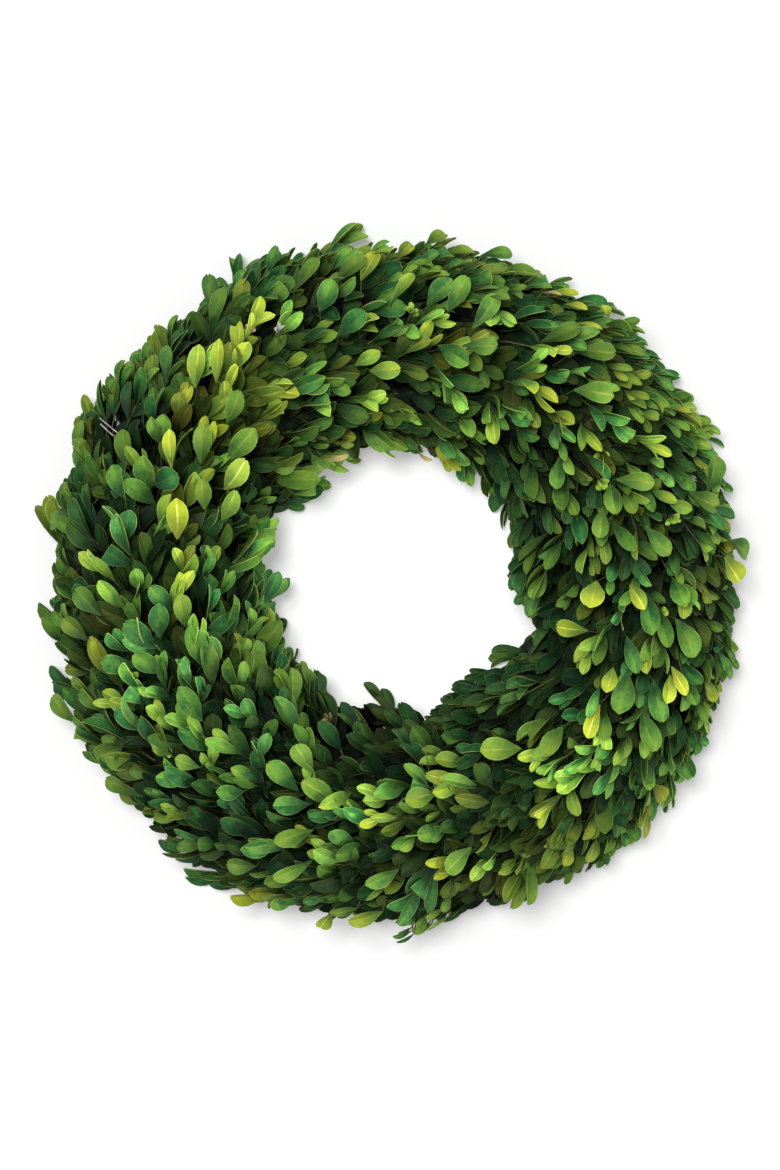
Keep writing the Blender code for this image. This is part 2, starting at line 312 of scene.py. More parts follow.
def smooth(start, end, value):
    share = min(1.0, max(0.0, (value - start) / (end - start)))
    return share * share * (3 - 2 * share)


def leaf_half_width(share, widest):
    """Half the width, at this share of its length, of a leaf that is 1 wide at its widest."""
    if share < widest:
        return 0.5 * math.sin(math.pi / 2 * share / widest) ** WEDGE_CURVE
    past = (share - widest) / (1.0 - widest)
    return 0.5 * math.sqrt(1.0 - TIP_NARROWS * past ** TIP_BLUNTNESS)


def shape_leaf(bm, draw, cut):
    """Pulls a square grid, 1 wide and 1 long, into a leaf that lies along +Y and faces +Z.

    A leaf is cut off straight at the share cut of its length, which is 1 on a whole leaf.
    """
    widest = draw.uniform(*WIDEST_AT)
    fold = draw.uniform(*FOLDS)
    droop = draw.uniform(*DROOPS)
    sweep = draw.uniform(*SWEEPS)
    twist = draw.uniform(*TWISTS)
    notch = draw.choice(NOTCHES)
    for vertex in bm.verts:
        across, share = 2 * vertex.co.x, vertex.co.y + 0.5
        share = cut * (1 - (1 - share) ** TIP_CROWDING)
        half = leaf_half_width(share, widest) * LEAF_WIDTH + PETIOLE_WIDTH / 2
        tip = smooth(TIP_START, 1.0, share)
        length = share - ROUND_TIP * tip * across ** 2
        length -= notch * tip * max(0.0, 1 - 2 * abs(across))
        bend = BELLY * droop * math.sin(math.pi * share) - droop * share ** 3
        vertex.co.x = across * half + sweep * LEAF_WIDTH * share ** 2
        vertex.co.y = length * LEAF_LENGTH
        vertex.co.z = (fold * abs(across) ** FOLD_CURVE + twist * across * share) * half
        vertex.co.z += bend * LEAF_LENGTH


print("width of a leaf in its middle, of 1:", round(2 * leaf_half_width(0.5, WIDEST_AT[1]), 2))

# %% [markdown]
# ## Leaf forms
# The grid's own 0 to 1 coordinates are kept as the leaf's UV map before it is shaped, so midrib,
# veins and edge follow every leaf. The lower skin is marked, because a leaf is paler below. Each
# vertex also has room for the leaf's tone and shade, which are filled in when it is placed; the
# shade is painted light and shade, with a random brightness of the leaf. The leaves deep inside are
# seen only in part and in the dark, so plainer forms are enough for them.

# %% Leaf forms
FULL_GRID, PLAIN_GRID = (4, 7), (2, 6)
LEAF_FORMS, INNER_FORMS = 22, 10
FORM_SEED = 3
CUT_SHARES = (0.62, 0.78)
LEAF_SLOT, TWIG_SLOT, HEART_SLOT, INNER_SLOT = range(4)
CREASE_ANGLE = math.radians(14.0)


def add_layers(bm):
    for name in ("tone", "shade", "age", "below"):
        bm.verts.layers.float.new(name)
    bm.loops.layers.uv.new("leaf")


def finished_mesh(bm, name):
    """Turns a bmesh into a mesh and frees it."""
    mesh = bpy.data.meshes.new(name)
    bm.to_mesh(mesh)
    bm.free()
    return mesh


def leaf_form(name, grid, cut, slot, draw):
    bm = bmesh.new()
    add_layers(bm)
    bmesh.ops.create_grid(bm, x_segments=grid[0], y_segments=grid[1], size=0.5)
    uv = bm.loops.layers.uv["leaf"]
    for face in bm.faces:
        for loop in face.loops:
            loop[uv].uv = (loop.vert.co.x + 0.5, loop.vert.co.y + 0.5)
    shape_leaf(bm, draw, cut)
    lower_skin = bm.verts[:]
    skin = bmesh.ops.extrude_face_region(bm, geom=bm.faces[:], use_keep_orig=True)
    raised = [item for item in skin["geom"] if isinstance(item, bmesh.types.BMVert)]
    bmesh.ops.translate(bm, verts=raised, vec=(0.0, 0.0, LEAF_THICKNESS))
    below = bm.verts.layers.float["below"]
    for vertex in lower_skin:
        vertex[below] = 1.0
    bmesh.ops.recalc_face_normals(bm, faces=bm.faces)
    for face in bm.faces:
        face.smooth = True
        face.material_index = slot
    for edge in bm.edges:
        edge.smooth = edge.calc_face_angle(0.0) < CREASE_ANGLE
    return finished_mesh(bm, name)


form_draw = random.Random(FORM_SEED)
whole_forms = [
    leaf_form(f"leaf_{number}", FULL_GRID, 1.0, LEAF_SLOT, form_draw)
    for number in range(LEAF_FORMS)
]
cut_forms = [leaf_form(f"cut_{cut}", FULL_GRID, cut, LEAF_SLOT, form_draw) for cut in CUT_SHARES]
inner_forms = [
    leaf_form(f"inner_{number}", PLAIN_GRID, 1.0, INNER_SLOT, form_draw)
    for number in range(INNER_FORMS)
]
leaf_forms = whole_forms + cut_forms
print("faces of a leaf:", [len(form.polygons) for form in (whole_forms[0], inner_forms[0])])


# %% [markdown]
# ## Placing a leaf
# A leaf grows from a foot in some direction and turns its upper side to some other. These two
# directions make its frame, and a copy of one form is moved into it.

# %% Placing a leaf
FLOOR_GAP = 0.0004
TIP_LEVEL = 0.002


def add_leaf(bm, form, foot, heading, face, size, colour):
    """Adds one leaf to bm. size scales its width and length, colour is its tone, shade and age."""
    length = LEAF_LENGTH * size[1]
    if foot.z + heading.z * length < TIP_LEVEL:
        heading = Vector((heading.x, heading.y, (TIP_LEVEL - foot.z) / length))
    heading = heading.normalized()
    side = heading.cross(face).normalized()
    columns = (side * size[0], heading * size[1], side.cross(heading) * size[1])
    turned = Matrix(columns).transposed().to_4x4()
    turned.translation = foot
    first = len(bm.verts)
    bm.from_mesh(form)
    bm.verts.ensure_lookup_table()
    leaf = bm.verts[first:]
    bmesh.ops.transform(bm, matrix=turned, verts=leaf)
    lowest = min(vertex.co.z for vertex in leaf)
    if lowest < FLOOR_GAP:
        bmesh.ops.translate(bm, verts=leaf, vec=(0.0, 0.0, FLOOR_GAP - lowest))
    for name, value in zip(("tone", "shade", "age"), colour):
        layer = bm.verts.layers.float[name]
        for vertex in leaf:
            vertex[layer] = value


# %% [markdown]
# ## How far the leaves reach
# No wreath is quite round. These numbers, in millimetres and one for every 20 degrees, say how much
# further than a round one it reaches at its outer edge and into its hole. Below 0 it falls short.
# A small program worked them out from the edges measured in the picture and in a render.

# %% The uneven edges
EDGE_STEP = math.radians(20.0)
OUTER_REACH = [-2.2, -2.3, 2.3, 1.2, -3.5, -3.0, -2.3, -1.7, -14.6, -15.7, -2.4, -8.4, -0.7, -7.5,
               -2.4, 4.4, -0.8, 1.6]
INNER_REACH = [-4.0, -9.1, -10.2, 1.2, 9.2, -10.8, -1.1, 7.7, -2.2, 8.3, -2.7, 8.1, 1.7, 5.8,
               -10.2, -9.0, -5.4, -11.5]


def edge_reach(turn, slope):
    """How much further out than usual the leaves reach at this place, in metres."""
    numbers = OUTER_REACH if slope > 0 else INNER_REACH
    step, share = divmod(turn / EDGE_STEP, 1.0)
    before, after = numbers[int(step) % len(numbers)], numbers[int(step + 1) % len(numbers)]
    return (before + share * (after - before)) * math.sin(slope) ** 2 / 1000


print("outer edge, in mm from round:", min(OUTER_REACH), "to", max(OUTER_REACH))


# %% [markdown]
# ## Where the sprigs end
# Sprigs that are placed by chance alone leave bald spots and crowds. Here each new tip is the one
# of several drawn places that is furthest from those there already, which spreads them evenly
# over the whole curved surface and still looks grown.

# %% Sprig tips over the whole wreath
SPRIGS = 505
CANDIDATES = 12
TIP_HEIGHT = 0.0500
EDGE_SLOPE = math.radians(101.0)
CLOSER_RIGHT = 0.13
SPOT_SEED = 11


def drawn_spot(draw):
    """A turn and slope, drawn evenly over the surface at the tips, a little closer on the right."""
    while True:
        turn, slope = draw.uniform(0, math.tau), draw.uniform(-EDGE_SLOPE, EDGE_SLOPE)
        share = local_radius(TIP_HEIGHT, slope) / local_radius(TIP_HEIGHT, math.pi / 2)
        if draw.random() < share * (1.0 - CLOSER_RIGHT * (1.0 - math.sin(turn))):
            return turn, slope


def spread_spots(count, draw):
    spots, points = [], []
    for _ in range(count):
        tries = [drawn_spot(draw) for _ in range(CANDIDATES)]
        where = [place(turn, TIP_HEIGHT, slope) for turn, slope in tries]
        room = [min(((point - other).length for other in points), default=1.0) for point in where]
        best = room.index(max(room))
        spots.append(tries[best])
        points.append(where[best])
    return spots


def bunch_of(turn, height, slope):
    """The row and station whose bunch this place is in."""
    row = min(ROW_MIDDLES, key=lambda name: abs(math.radians(ROW_MIDDLES[name]) - slope))
    first = swept_turn(row_start(row, 0), height, slope)
    return row, int((turn - first) % math.tau / STATION_TURN)


spot_draw = random.Random(SPOT_SEED)
sprigs_of = {(row, station): [] for row in ROW_MIDDLES for station in range(STATIONS)}
for spot in spread_spots(SPRIGS, spot_draw):
    sprigs_of[bunch_of(spot[0], TIP_HEIGHT, spot[1])].append(spot)
for row in ROW_MIDDLES:
    counts = [len(sprigs_of[row, station]) for station in range(STATIONS)]
    print(f"sprigs in a bunch of the {row} row:", min(counts), "to", max(counts))

# %% [markdown]
# ## The colour of a sprig, and its painted light and shade
# Leaves of one sprig have grown together and share their colour, from deep bluish green through
# olive to the bright yellow-green of new growth. A slow noise makes neighbouring sprigs alike.
# Leaves deep inside are painted darker, as painted shade. A few places on the wreath have clearly
# younger or older growth, and at some places the leaves are painted lighter and at others darker,
# as painted light and painted shade.
# These places were set, render after render, to come near the picture's light and dark.

# %% Tone, painted light and shade, and age
MIDDLE_TONE, TONE_WAVES, TONE_SPREAD = 0.38, 0.42, 0.20
TONE_PATCH = 0.030
# painted shade: the share of light left on the deepest leaves and the most any leaf's shade may be,
# then the heights from the ring's centre line over which the painted shade fades out
DEEP_LIGHT, MOST_LIGHT = 0.11, 1.10
DARK_HEIGHT, LIGHT_HEIGHT = 0.0485, 0.0605
LEAF_LIGHTS = (0.70, 1.06)
OLDEST = [0.25, 0.5, 1.0]
GROWTH_AND_PAINTED_LIGHT_PLACES = [
    # turn and slope in degrees, reach in metres, change of tone, share of painted light gained or
    # lost
    (0, 55, 0.034, 0.24, 0.6),
    (358, 14, 0.02, 0, -0.25),
    (2, -72, 0.024, 0.08, 0.35),
    (8, -24, 0.032, 0.12, 0.28),
    (20, 60, 0.026, -0.1, -0.18),
    (42, -22, 0.03, -0.18, -0.42),
    (34, 20, 0.036, 0.12, 0.5),
    (40, -72, 0.026, 0.14, 0.8),
    (60, -50, 0.036, -0.12, -0.3),
    (62, 28, 0.036, 0.14, 0.22),
    (82, 60, 0.03, 0.1, 0.15),
    (82, 15, 0.026, -0.1, -0.46),
    (142, 8, 0.032, 0.28, 0.75),
    (140, 62, 0.026, -0.1, -0.15),
    (160, -32, 0.03, 0.06, 0.12),
    (160, 18, 0.02, 0.08, 0.25),
    (100, 60, 0.03, -0.08, -0.3),
    (102, -74, 0.026, 0.06, 0.4),
    (122, -40, 0.026, 0.06, 0.26),
    (160, 62, 0.026, -0.06, -0.2),
    (200, -22, 0.032, 0.1, 0.75),
    (218, 60, 0.06, -0.22, -0.22),
    (208, 18, 0.032, -0.12, -0.42),
    (202, -76, 0.028, -0.14, -0.6),
    (256, 2, 0.014, -0.35, -0.1),
    (262, 2, 0.036, -0.02, 0.85),
    (280, 18, 0.024, 0.08, 0.4),
    (252, 62, 0.032, -0.12, -0.38),
    (242, -80, 0.024, -0.06, -0.22),
    (280, 54, 0.03, -0.2, -0.4),
    (258, -78, 0.028, -0.1, -0.2),
    (282, -72, 0.026, 0.24, 0.9),
    (304, -12, 0.038, 0.26, 0),
    (300, 24, 0.026, -0.16, -0.55),
    (321, 16, 0.03, 0.3, 1.1),
    (320, -28, 0.024, 0.06, 0.35),
    (314, -82, 0.042, -0.16, -0.42),
    (318, 62, 0.036, -0.08, -0.26),
    (340, 62, 0.026, -0.1, -0.32),
    (340, 14, 0.028, 0.16, 0.75),
    (340, -74, 0.026, 0.08, 0.55),
    (75, -85, 0.05, -0.2, -0.45),
    (130, -85, 0.055, -0.25, -0.6),
    (185, -85, 0.05, -0.25, -0.65),
    (299.2, 72, 0.019, -0.25, -0.93),
]


def growth_and_painted_light(point):
    """The change of tone and the share of painted light and shade at a point."""
    change, light = 0.0, 1.0
    for turn, slope, reach, more_tone, painted_light_change in GROWTH_AND_PAINTED_LIGHT_PLACES:
        middle = place(math.radians(turn), TIP_HEIGHT, math.radians(slope))
        nearness = math.exp(-((point - middle).length / reach) ** 2)
        change += more_tone * nearness
        # painted light and shade of this place
        light += painted_light_change * nearness
    return change, light


def sprig_tone(point, draw):
    """From 0, deep bluish green, to 1, yellow-green."""
    own = MIDDLE_TONE + TONE_WAVES * noise.noise(point / TONE_PATCH) + draw.gauss(0.0, TONE_SPREAD)
    return own + growth_and_painted_light(point)[0]


def leaf_colour(tone, point, draw):
    """Tone, shade and age. The shade is painted shade: leaves deep inside are painted darker, and
    the shade is also multiplied by the painted light of the place and by a random brightness of the
    leaf.
    """
    depth = DEEP_LIGHT + (1.0 - DEEP_LIGHT) * smooth(DARK_HEIGHT, LIGHT_HEIGHT, ring_height(point))
    shade = min(MOST_LIGHT, depth * growth_and_painted_light(point)[1] * draw.uniform(*LEAF_LIGHTS))
    age = draw.random() ** 3 * draw.choice(OLDEST)
    return min(1.0, max(0.0, tone)), shade, age


def ring_height(point):
    """How far a point is from the ring's centre line."""
    flat = Vector((point.x - RING_MIDDLE.x, point.y - RING_MIDDLE.y))
    return math.hypot(flat.length - RING_RADIUS, point.z - RING_MIDDLE.z)


print("places with growth of their own:", len(GROWTH_AND_PAINTED_LIGHT_PLACES))


# %% [markdown]
# ## Leaves that stand out
# Some leaves of this wreath are seen at once, such as the yellow one on its left side. They are
# placed one by one, each with a stem of its own, and so are some of the ordinary leaves that lie
# on top. Their places were read off the picture. Turn is measured clockwise from the top
# of the picture, and so is the direction in which a leaf points. The last few are cut, dry or a
# cluster of buds.

# %% Places of the leaves that stand out
# turn in degrees, radius in mm, pointing in degrees, length and width in mm, and tone of each
STRIKING_LEAVES = [
    (287.8, 129.3, 0, 24.5, 11.6, 1), (249.8, 204, 275, 24, 10.5, 0.6),
    (178.4, 202.7, 205, 12.5, 3.4, 0.25), (178.8, 200.3, 233, 12, 3.2, 0.3),
    (172.8, 194.3, 231, 15.7, 4.4, 0.65), (175.2, 195.8, 212, 9, 5, 0.55),
    (178.3, 192.9, 250, 8.5, 4.2, 0.35), (170.9, 182.4, 200, 11, 5, 0.55),
    (173.2, 187, 260, 12, 5, 0.6), (175.4, 191.8, 195, 12, 5.5, 0.55),
    (175.5, 197.4, 235, 13, 6, 0.62), (177.3, 191.4, 262, 9, 4, 0.4),
    (178.4, 197.9, 250, 9, 3.4, 0.3), (30, 196.5, 100, 16, 5.5, 1),
    (32.8, 193, 98, 13, 5.5, 1), (37.2, 201, 22, 11, 6, 1),
    (36.5, 187, 100, 15, 4, 0.95), (86.9, 194, 140, 17, 13, 0.9),
    (301.7, 150.2, -3, 22, 6.8, 0.92), (305.2, 110.8, 32, 21.5, 11.5, 0.8),
    (296.4, 121.2, -8, 20, 8.5, 0.64), (296.6, 105.2, 18, 20, 9.5, 0.7),
    (295.3, 143.9, 72, 17, 13, 0.15), (103.3, 103.2, 275, 19, 9, 0.88),
    (91.8, 112.7, 185, 16, 13, 0.9), (91.9, 137.6, 145, 17, 8, 0.95),
    (113.2, 132.6, 190, 15, 8, 0.9), (110.3, 165.3, 195, 16.5, 8, 1),
    (108.1, 169.8, 150, 18.5, 7, 1), (123.9, 134.3, 205, 21, 8, 1),
    (167, 157.3, 235, 20, 11, 0.55), (173.3, 119.3, 250, 20, 11, 0.66),
    (189.1, 187.6, 262, 16, 7, 0.62), (355.3, 185.2, 15, 22, 9, 0.85),
    (347, 170.4, 25, 20, 11, 0.34),
]
ORDINARY_LEAVES = [
    (262.2, 135.4, 355, 16.7, 12, 0.3), (259.5, 147, 312, 19, 14, 0.24),
    (267.5, 132.8, 319, 15, 9.5, 0.28), (263.9, 121.5, 345, 15.5, 11, 0.6),
    (253.3, 146.6, 311, 16, 12.5, 0.42), (253.9, 117, 339, 25, 11.5, 0.4),
    (240.5, 134, 321, 20, 11, 0.42), (220.7, 95, 329, 22, 10, 0.38),
    (210.9, 123.9, 312, 21, 11, 0.38), (200.7, 122.6, 302, 20, 11, 0.6),
    (208.2, 109.6, 329, 16, 11, 0.58), (254.5, 163, 272, 17, 10, 0.32),
    (267.4, 175.5, 309, 18, 10.5, 0.52), (262.9, 183.6, 311, 16, 10, 0.58),
    (240.1, 188.4, 239, 20, 12, 0.6), (234.4, 195.8, 275, 16, 12, 0.56),
    (229.9, 154.3, 290, 12, 11, 0.58), (200, 171.2, 240, 20, 8, 0.56),
    (209.1, 180.9, 275, 14, 11, 0.52), (182.5, 165.2, 241, 17, 9, 0.5),
    (191.8, 195.6, 200, 13, 11, 0.8), (185.3, 188.9, 262, 17, 9, 0.76),
    (218.9, 149, 265, 13, 11, 0.3), (205.5, 136.4, 265, 17, 10, 0.32),
    (202.4, 152, 255, 19, 9, 0.58), (350.7, 152, 50, 17.5, 10.5, 0.24),
    (8.3, 170.6, 35, 17.2, 12, 0.38), (12.2, 171, 30, 20, 10, 0.48),
    (18.3, 165.2, 39, 25, 10, 0.48), (14.1, 136.9, 118, 17.3, 13, 0.42),
    (19.6, 145.2, 100, 16, 10, 0.5), (357.2, 123.6, 85, 14.7, 10.5, 0.7),
    (21.5, 196.4, 69, 17, 10, 0.6), (16.9, 202, 54, 15.7, 9, 0.36),
    (11, 198.4, 49, 14, 9, 0.66), (6.8, 202.8, 22, 14, 9, 0.64),
    (352.3, 184.4, 49, 18.4, 9.5, 0.5), (344.2, 186.4, 26, 21.4, 7.5, 0.58),
    (1.3, 171.4, 32, 17.4, 6.5, 0.66), (33.3, 172.4, 68, 19.4, 9.5, 0.54),
    (40.3, 176, 93, 20, 10, 0.6), (45.3, 158.4, 97, 18.7, 11, 0.6),
    (313, 120, 33, 23, 12, 0.58), (318.5, 137, 26, 17.2, 9.5, 0.58),
    (318.2, 169.4, 3, 22, 10, 0.78), (322, 164, 3, 25, 7, 0.84),
    (312, 186.7, 335, 16, 9, 0.6), (306.9, 136.5, 5, 19, 10, 0.58),
    (297.1, 173.4, 345, 19, 9, 0.54), (290.8, 168.3, 330, 18, 10, 0.32),
    (295.7, 202.6, 332, 16, 10, 0.46), (281.8, 198.6, 275, 16, 11, 0.5),
    (65.9, 149, 95, 18.3, 9.5, 0.6), (67.7, 132.5, 175, 15, 12, 0.55),
    (72.4, 122, 185, 15, 9, 0.6), (79.7, 151, 141, 18, 9, 0.48),
    (77.6, 132.7, 143, 18, 8, 0.4), (54.8, 112.9, 185, 15, 8, 0.44),
    (70, 194, 41, 22, 12, 0.5), (74.3, 183.6, 110, 17, 11, 0.62),
    (83.1, 200.8, 90, 17, 11, 0.5), (98.3, 153, 165, 22, 8, 0.46),
    (99.6, 167.8, 150, 20, 12, 0.48), (95.5, 144.4, 170, 21, 10, 0.36),
    (105.7, 139, 165, 18, 8, 0.34), (114.4, 142.3, 190, 22, 12, 0.44),
    (113.5, 161.4, 175, 21, 11, 0.3), (119.6, 164.5, 165, 24, 11, 0.5),
    (134.6, 123.8, 215, 18, 10, 0.6), (147, 110.3, 260, 19, 14, 0.66),
]
ODD_LEAVES = [
    (328, 83.4, 148, 21, 8.5, 0.55, "cut"),
    (319.5, 75, 108, 21, 7.5, 0.5, "cut"),
    (335.4, 82.4, 100, 15, 2.8, 0.8, "dry"),
    (12.7, 78.4, 110, 10, 2.4, 0.8, "dry"),
    (28, 191.5, 95, 12, 2.6, 0.8, "dry"),
    (336.8, 163, 20, 12, 12, 0.8, "silvery buds"),
    (4.4, 161, 40, 12, 12, 0.8, "buds"),
    (64.5, 133, 130, 12, 12, 0.8, "buds"),
    (77.1, 165, 140, 12, 12, 0.8, "buds"),
]
print("placed one by one:", len(STRIKING_LEAVES) + len(ORDINARY_LEAVES) + len(ODD_LEAVES))

# %% Leaves that stand out
SHOWN_HEIGHT = 0.0610
SHOWN_TILT = math.radians(19.0)
SHOWN_UPTURN = 0.6
SHOWN_LIGHTS, LIT_TONES = (0.54, 1.0), (0.55, 0.95)
SIDE_PAINTED_LIGHT = 0.35
STEEPEST = math.sin(math.radians(75.0))
SHOWN_MIDDLE = 0.62
KNEE_BACK, KNEE_DOWN = 0.002, 0.009
FOOT_BACK, FOOT_DOWN = 0.003, 0.010
HIDDEN_FOOT = 1.22
LONGEST, SLIMMEST = 25.0, 1.9


class ShownLeaf:
    """A leaf that lies just above its neighbours, with the tip, knee and foot of its stem."""

    def __init__(self, turn, radius, pointing, length, width, tone, kind="whole"):
        self.kind = kind
        self.turn = math.radians(turn)
        reach = radius / 1000 - RING_RADIUS
        height = max(SHOWN_HEIGHT, abs(reach) / STEEPEST)
        self.slope = math.asin(reach / height)
        out = directions(self.turn, self.slope)[1]
        flat = outwards(math.radians(pointing))
        flat = (flat - flat.dot(out) * out).normalized()
        self.heading = math.cos(SHOWN_TILT) * flat + math.sin(SHOWN_TILT) * out
        self.face = out + SHOWN_UPTURN * UP
        self.normal = self.face.normalized()
        self.size = (width / 1000 / LEAF_WIDTH, length / 1000 / LEAF_LENGTH)
        self.tone = tone
        # the leaf's shade: darker for greener leaves, and with painted light on the ring's sides,
        # where the rows are painted less light
        dark, light = SHOWN_LIGHTS
        self.shade = dark + (light - dark) * smooth(*LIT_TONES, tone)
        self.shade *= 1.0 + SIDE_PAINTED_LIGHT * math.sin(self.slope) ** 2
        self.tip = place(self.turn, height, self.slope) - self.heading * length / 2000
        self.middle = self.tip + self.heading * length / 1000 * SHOWN_MIDDLE
        self.knee = self.tip - self.heading * KNEE_BACK - out * KNEE_DOWN
        self.foot = self.knee - self.heading * FOOT_BACK - out * FOOT_DOWN


def with_hidden_foot(turn, radius, pointing, length, width, tone):
    """The row of an ordinary leaf, made longer by the foot that other leaves hide."""
    length = round(min(LONGEST, length * HIDDEN_FOOT), 1)
    width = round(min(width, length / SLIMMEST), 1)
    return turn, radius, pointing, length, width, tone


whole_rows = [with_hidden_foot(*row) for row in ORDINARY_LEAVES]
shown_leaves = [ShownLeaf(*row) for row in STRIKING_LEAVES + whole_rows + ODD_LEAVES]
print("the longest of the ordinary ones, in mm:", max(row[3] for row in whole_rows))

# %% [markdown]
# ## Leaves that grow
# Every grown leaf takes its colour, with its painted light and shade, from where its middle comes
# to lie. No leaf lies over one that stands out. At one place on the left side the real wreath also
# has a dark gap, through which two strands of wire are seen, and it is kept open, and the leaves
# round it are painted dark, as painted shade.

# %% A grown leaf
COVER_REACH = 0.0088
COVER_DEPTH = 0.0035
GAP_TURN = math.radians(298.7)
GAP_RADIUS = 0.1935
GAP_REACH = 0.0125
GAP_LEVEL = 0.030
GROWN_MIDDLE = 0.6


def in_gap(point):
    middle = RING_MIDDLE + GAP_RADIUS * outwards(GAP_TURN)
    return point.z > GAP_LEVEL and (point - middle).xy.length < GAP_REACH


def covers_shown(point):
    """Whether a leaf with this middle would lie over, or in, one of those that stand out."""
    for leaf in shown_leaves:
        offset = point - leaf.middle
        above = offset.dot(leaf.normal)
        if above > -COVER_DEPTH and (offset - above * leaf.normal).length < COVER_REACH:
            return True
    return False


def grow_leaf(bm, forms, draw, foot, heading, face, size, tone):
    """Adds a leaf of one of the forms, with the tone and the painted light and shade of its place.
    """
    middle = foot + heading * LEAF_LENGTH * GROWN_MIDDLE
    colour = leaf_colour(tone, middle, draw)
    form = draw.choice(forms)
    if not in_gap(middle) and not covers_shown(middle):
        add_leaf(bm, form, foot, heading, face, size, colour)


print("the gap, in mm from the middle:", round(GAP_RADIUS * 1000, 1))

# %% [markdown]
# ## A sprig
# A sprig is a thin stem with leaves in pairs, each pair a quarter turn from the last. The stem
# comes out of the heart steeply and then bends to lie along the ring, so the leaves lie like
# feathers. They turn their upper sides to the light, whichever side of the stem they grow from.

# %% The line of a sprig
TOP_LENGTH = 0.022
ROOT_LENGTH = 0.012
ROOT_LEAN = math.radians(50.0)
STEM_LEVEL = 0.004
LEANS = (16.0, 42.0)
OUTER_LEAN, INNER_LEAN = 4.0, 12.0
DRIFT_SPREAD, DRIFT_OUT = 17.0, 10.0
SIDE_REACH = 0.0045
UPTURN = 0.8
REACH_SPREAD, SIDE_SPREAD = 0.0030, 0.0022
REACH_WAVES, REACH_PATCH = 0.0060, 0.026
FURTHEST = 0.0120


class Sprig:
    """The stem of one sprig: from its foot in the heart to a knee, and straight on to its tip."""

    def __init__(self, turn, slope, draw):
        along, out, around = directions(turn, slope)
        more = OUTER_LEAN if slope > 0 else INNER_LEAN
        lean = math.radians(draw.uniform(*LEANS) + more * math.sin(slope) ** 2)
        drift = math.radians(draw.gauss(0.0, DRIFT_SPREAD) + DRIFT_OUT * math.sin(slope))
        run = math.cos(drift) * along + math.sin(drift) * around
        self.heading = math.cos(lean) * run + math.sin(lean) * out
        spread = REACH_SPREAD + SIDE_SPREAD * math.sin(slope) ** 2
        reach = SIDE_REACH * math.sin(slope) ** 2 + draw.gauss(0.0, spread)
        reach += REACH_WAVES * noise.noise(place(turn, TIP_HEIGHT, slope) / REACH_PATCH)
        reach = min(reach, FURTHEST) + edge_reach(turn, slope)
        self.tip = place(turn, TIP_HEIGHT + reach, slope)
        self.knee = self.tip - self.heading * TOP_LENGTH
        root = math.cos(ROOT_LEAN) * along + math.sin(ROOT_LEAN) * out
        self.foot = self.knee - root * ROOT_LENGTH
        for point in (self.foot, self.knee, self.tip):
            point.z = max(point.z, STEM_LEVEL)
        look = out + UPTURN * math.sin(slope) ** 2 * UP
        self.face = (look - look.dot(self.heading) * self.heading).normalized()
        self.tone = sprig_tone(self.tip, draw)


print("length of a sprig's own stem, in mm:", round((TOP_LENGTH + ROOT_LENGTH) * 1000))

# %% Leaves of one sprig
NODE_GAP, NODE_SLIP = 0.0085, 0.0015
QUARTER_TURN = math.pi / 2
TWIST_SPREAD, NODE_SPREAD = 0.45, 0.20
VIGOURS = (0.72, 1.14)
LARGER_LEFT = 0.85
LEAF_GROWTH = (0.84, 1.02, 1.0)
WIDTHS, LENGTHS = (0.68, 1.15), (0.76, 1.12)
OPENINGS, OPENING_SHARES = (17.0, 27.0, 36.0), (0.35, 1.5)
CLOSER_ABOVE = 0.5
LOST_LEAVES, LOST_BELOW = 0.12, 0.5
ROLL_SPREAD = 27.0
EDGE_ON_SHARE, EDGE_ON_ROLL = 0.22, 65.0
FACE_STEM = 0.2
TIP_TONE, NODE_TONE, LEAF_TONE_SPREAD = 0.08, 0.07, 0.10


def leaf_heading(sprig, bearing, opening):
    """A direction that opens from the stem towards a bearing round it, which is 0 at the face."""
    side = sprig.heading.cross(sprig.face)
    away = math.cos(bearing) * sprig.face + math.sin(bearing) * side
    return math.cos(opening) * sprig.heading + math.sin(opening) * away, away


def leaf_face(sprig, away, draw):
    """The way a leaf's upper side looks: outwards, a little towards the stem, and rolled."""
    roll = math.radians(draw.gauss(0.0, ROLL_SPREAD))
    if draw.random() < EDGE_ON_SHARE:
        roll += math.radians(draw.choice([-EDGE_ON_ROLL, EDGE_ON_ROLL]))
    side = sprig.heading.cross(sprig.face)
    return math.cos(roll) * sprig.face + math.sin(roll) * side - FACE_STEM * away


def add_sprig_leaves(bm, sprig, draw):
    vigour = draw.uniform(*VIGOURS) * (1.0 - LARGER_LEFT * sprig.tip.x)
    twist = QUARTER_TURN + draw.gauss(0.0, TWIST_SPREAD)
    for node, (widest, fullness) in enumerate(zip(OPENINGS, LEAF_GROWTH)):
        for bearing in (twist, twist + math.pi):
            down = NODE_GAP * node + draw.uniform(-NODE_SLIP, NODE_SLIP)
            base = sprig.tip - sprig.heading * down
            below = max(0.0, -math.cos(bearing))
            if node and draw.random() < LOST_LEAVES + LOST_BELOW * below:
                continue
            opening = math.radians(widest * draw.uniform(*OPENING_SHARES))
            opening *= 1.0 - CLOSER_ABOVE * max(0.0, math.cos(bearing))
            heading, away = leaf_heading(sprig, bearing, opening)
            scale = vigour * fullness
            size = (scale * draw.uniform(*WIDTHS), scale * draw.uniform(*LENGTHS))
            tone = sprig.tone + TIP_TONE - NODE_TONE * node + draw.gauss(0.0, LEAF_TONE_SPREAD)
            face = leaf_face(sprig, away, draw)
            grow_leaf(bm, leaf_forms, draw, base, heading, face, size, tone)
        twist += QUARTER_TURN + draw.gauss(0.0, NODE_SPREAD)
    if draw.random() < BUD_SHARE:
        add_buds(bm, sprig, 1.0, draw.choice([YOUNG, YOUNG, DRY]), draw)


print("most leaves on a sprig:", 2 * len(OPENINGS))

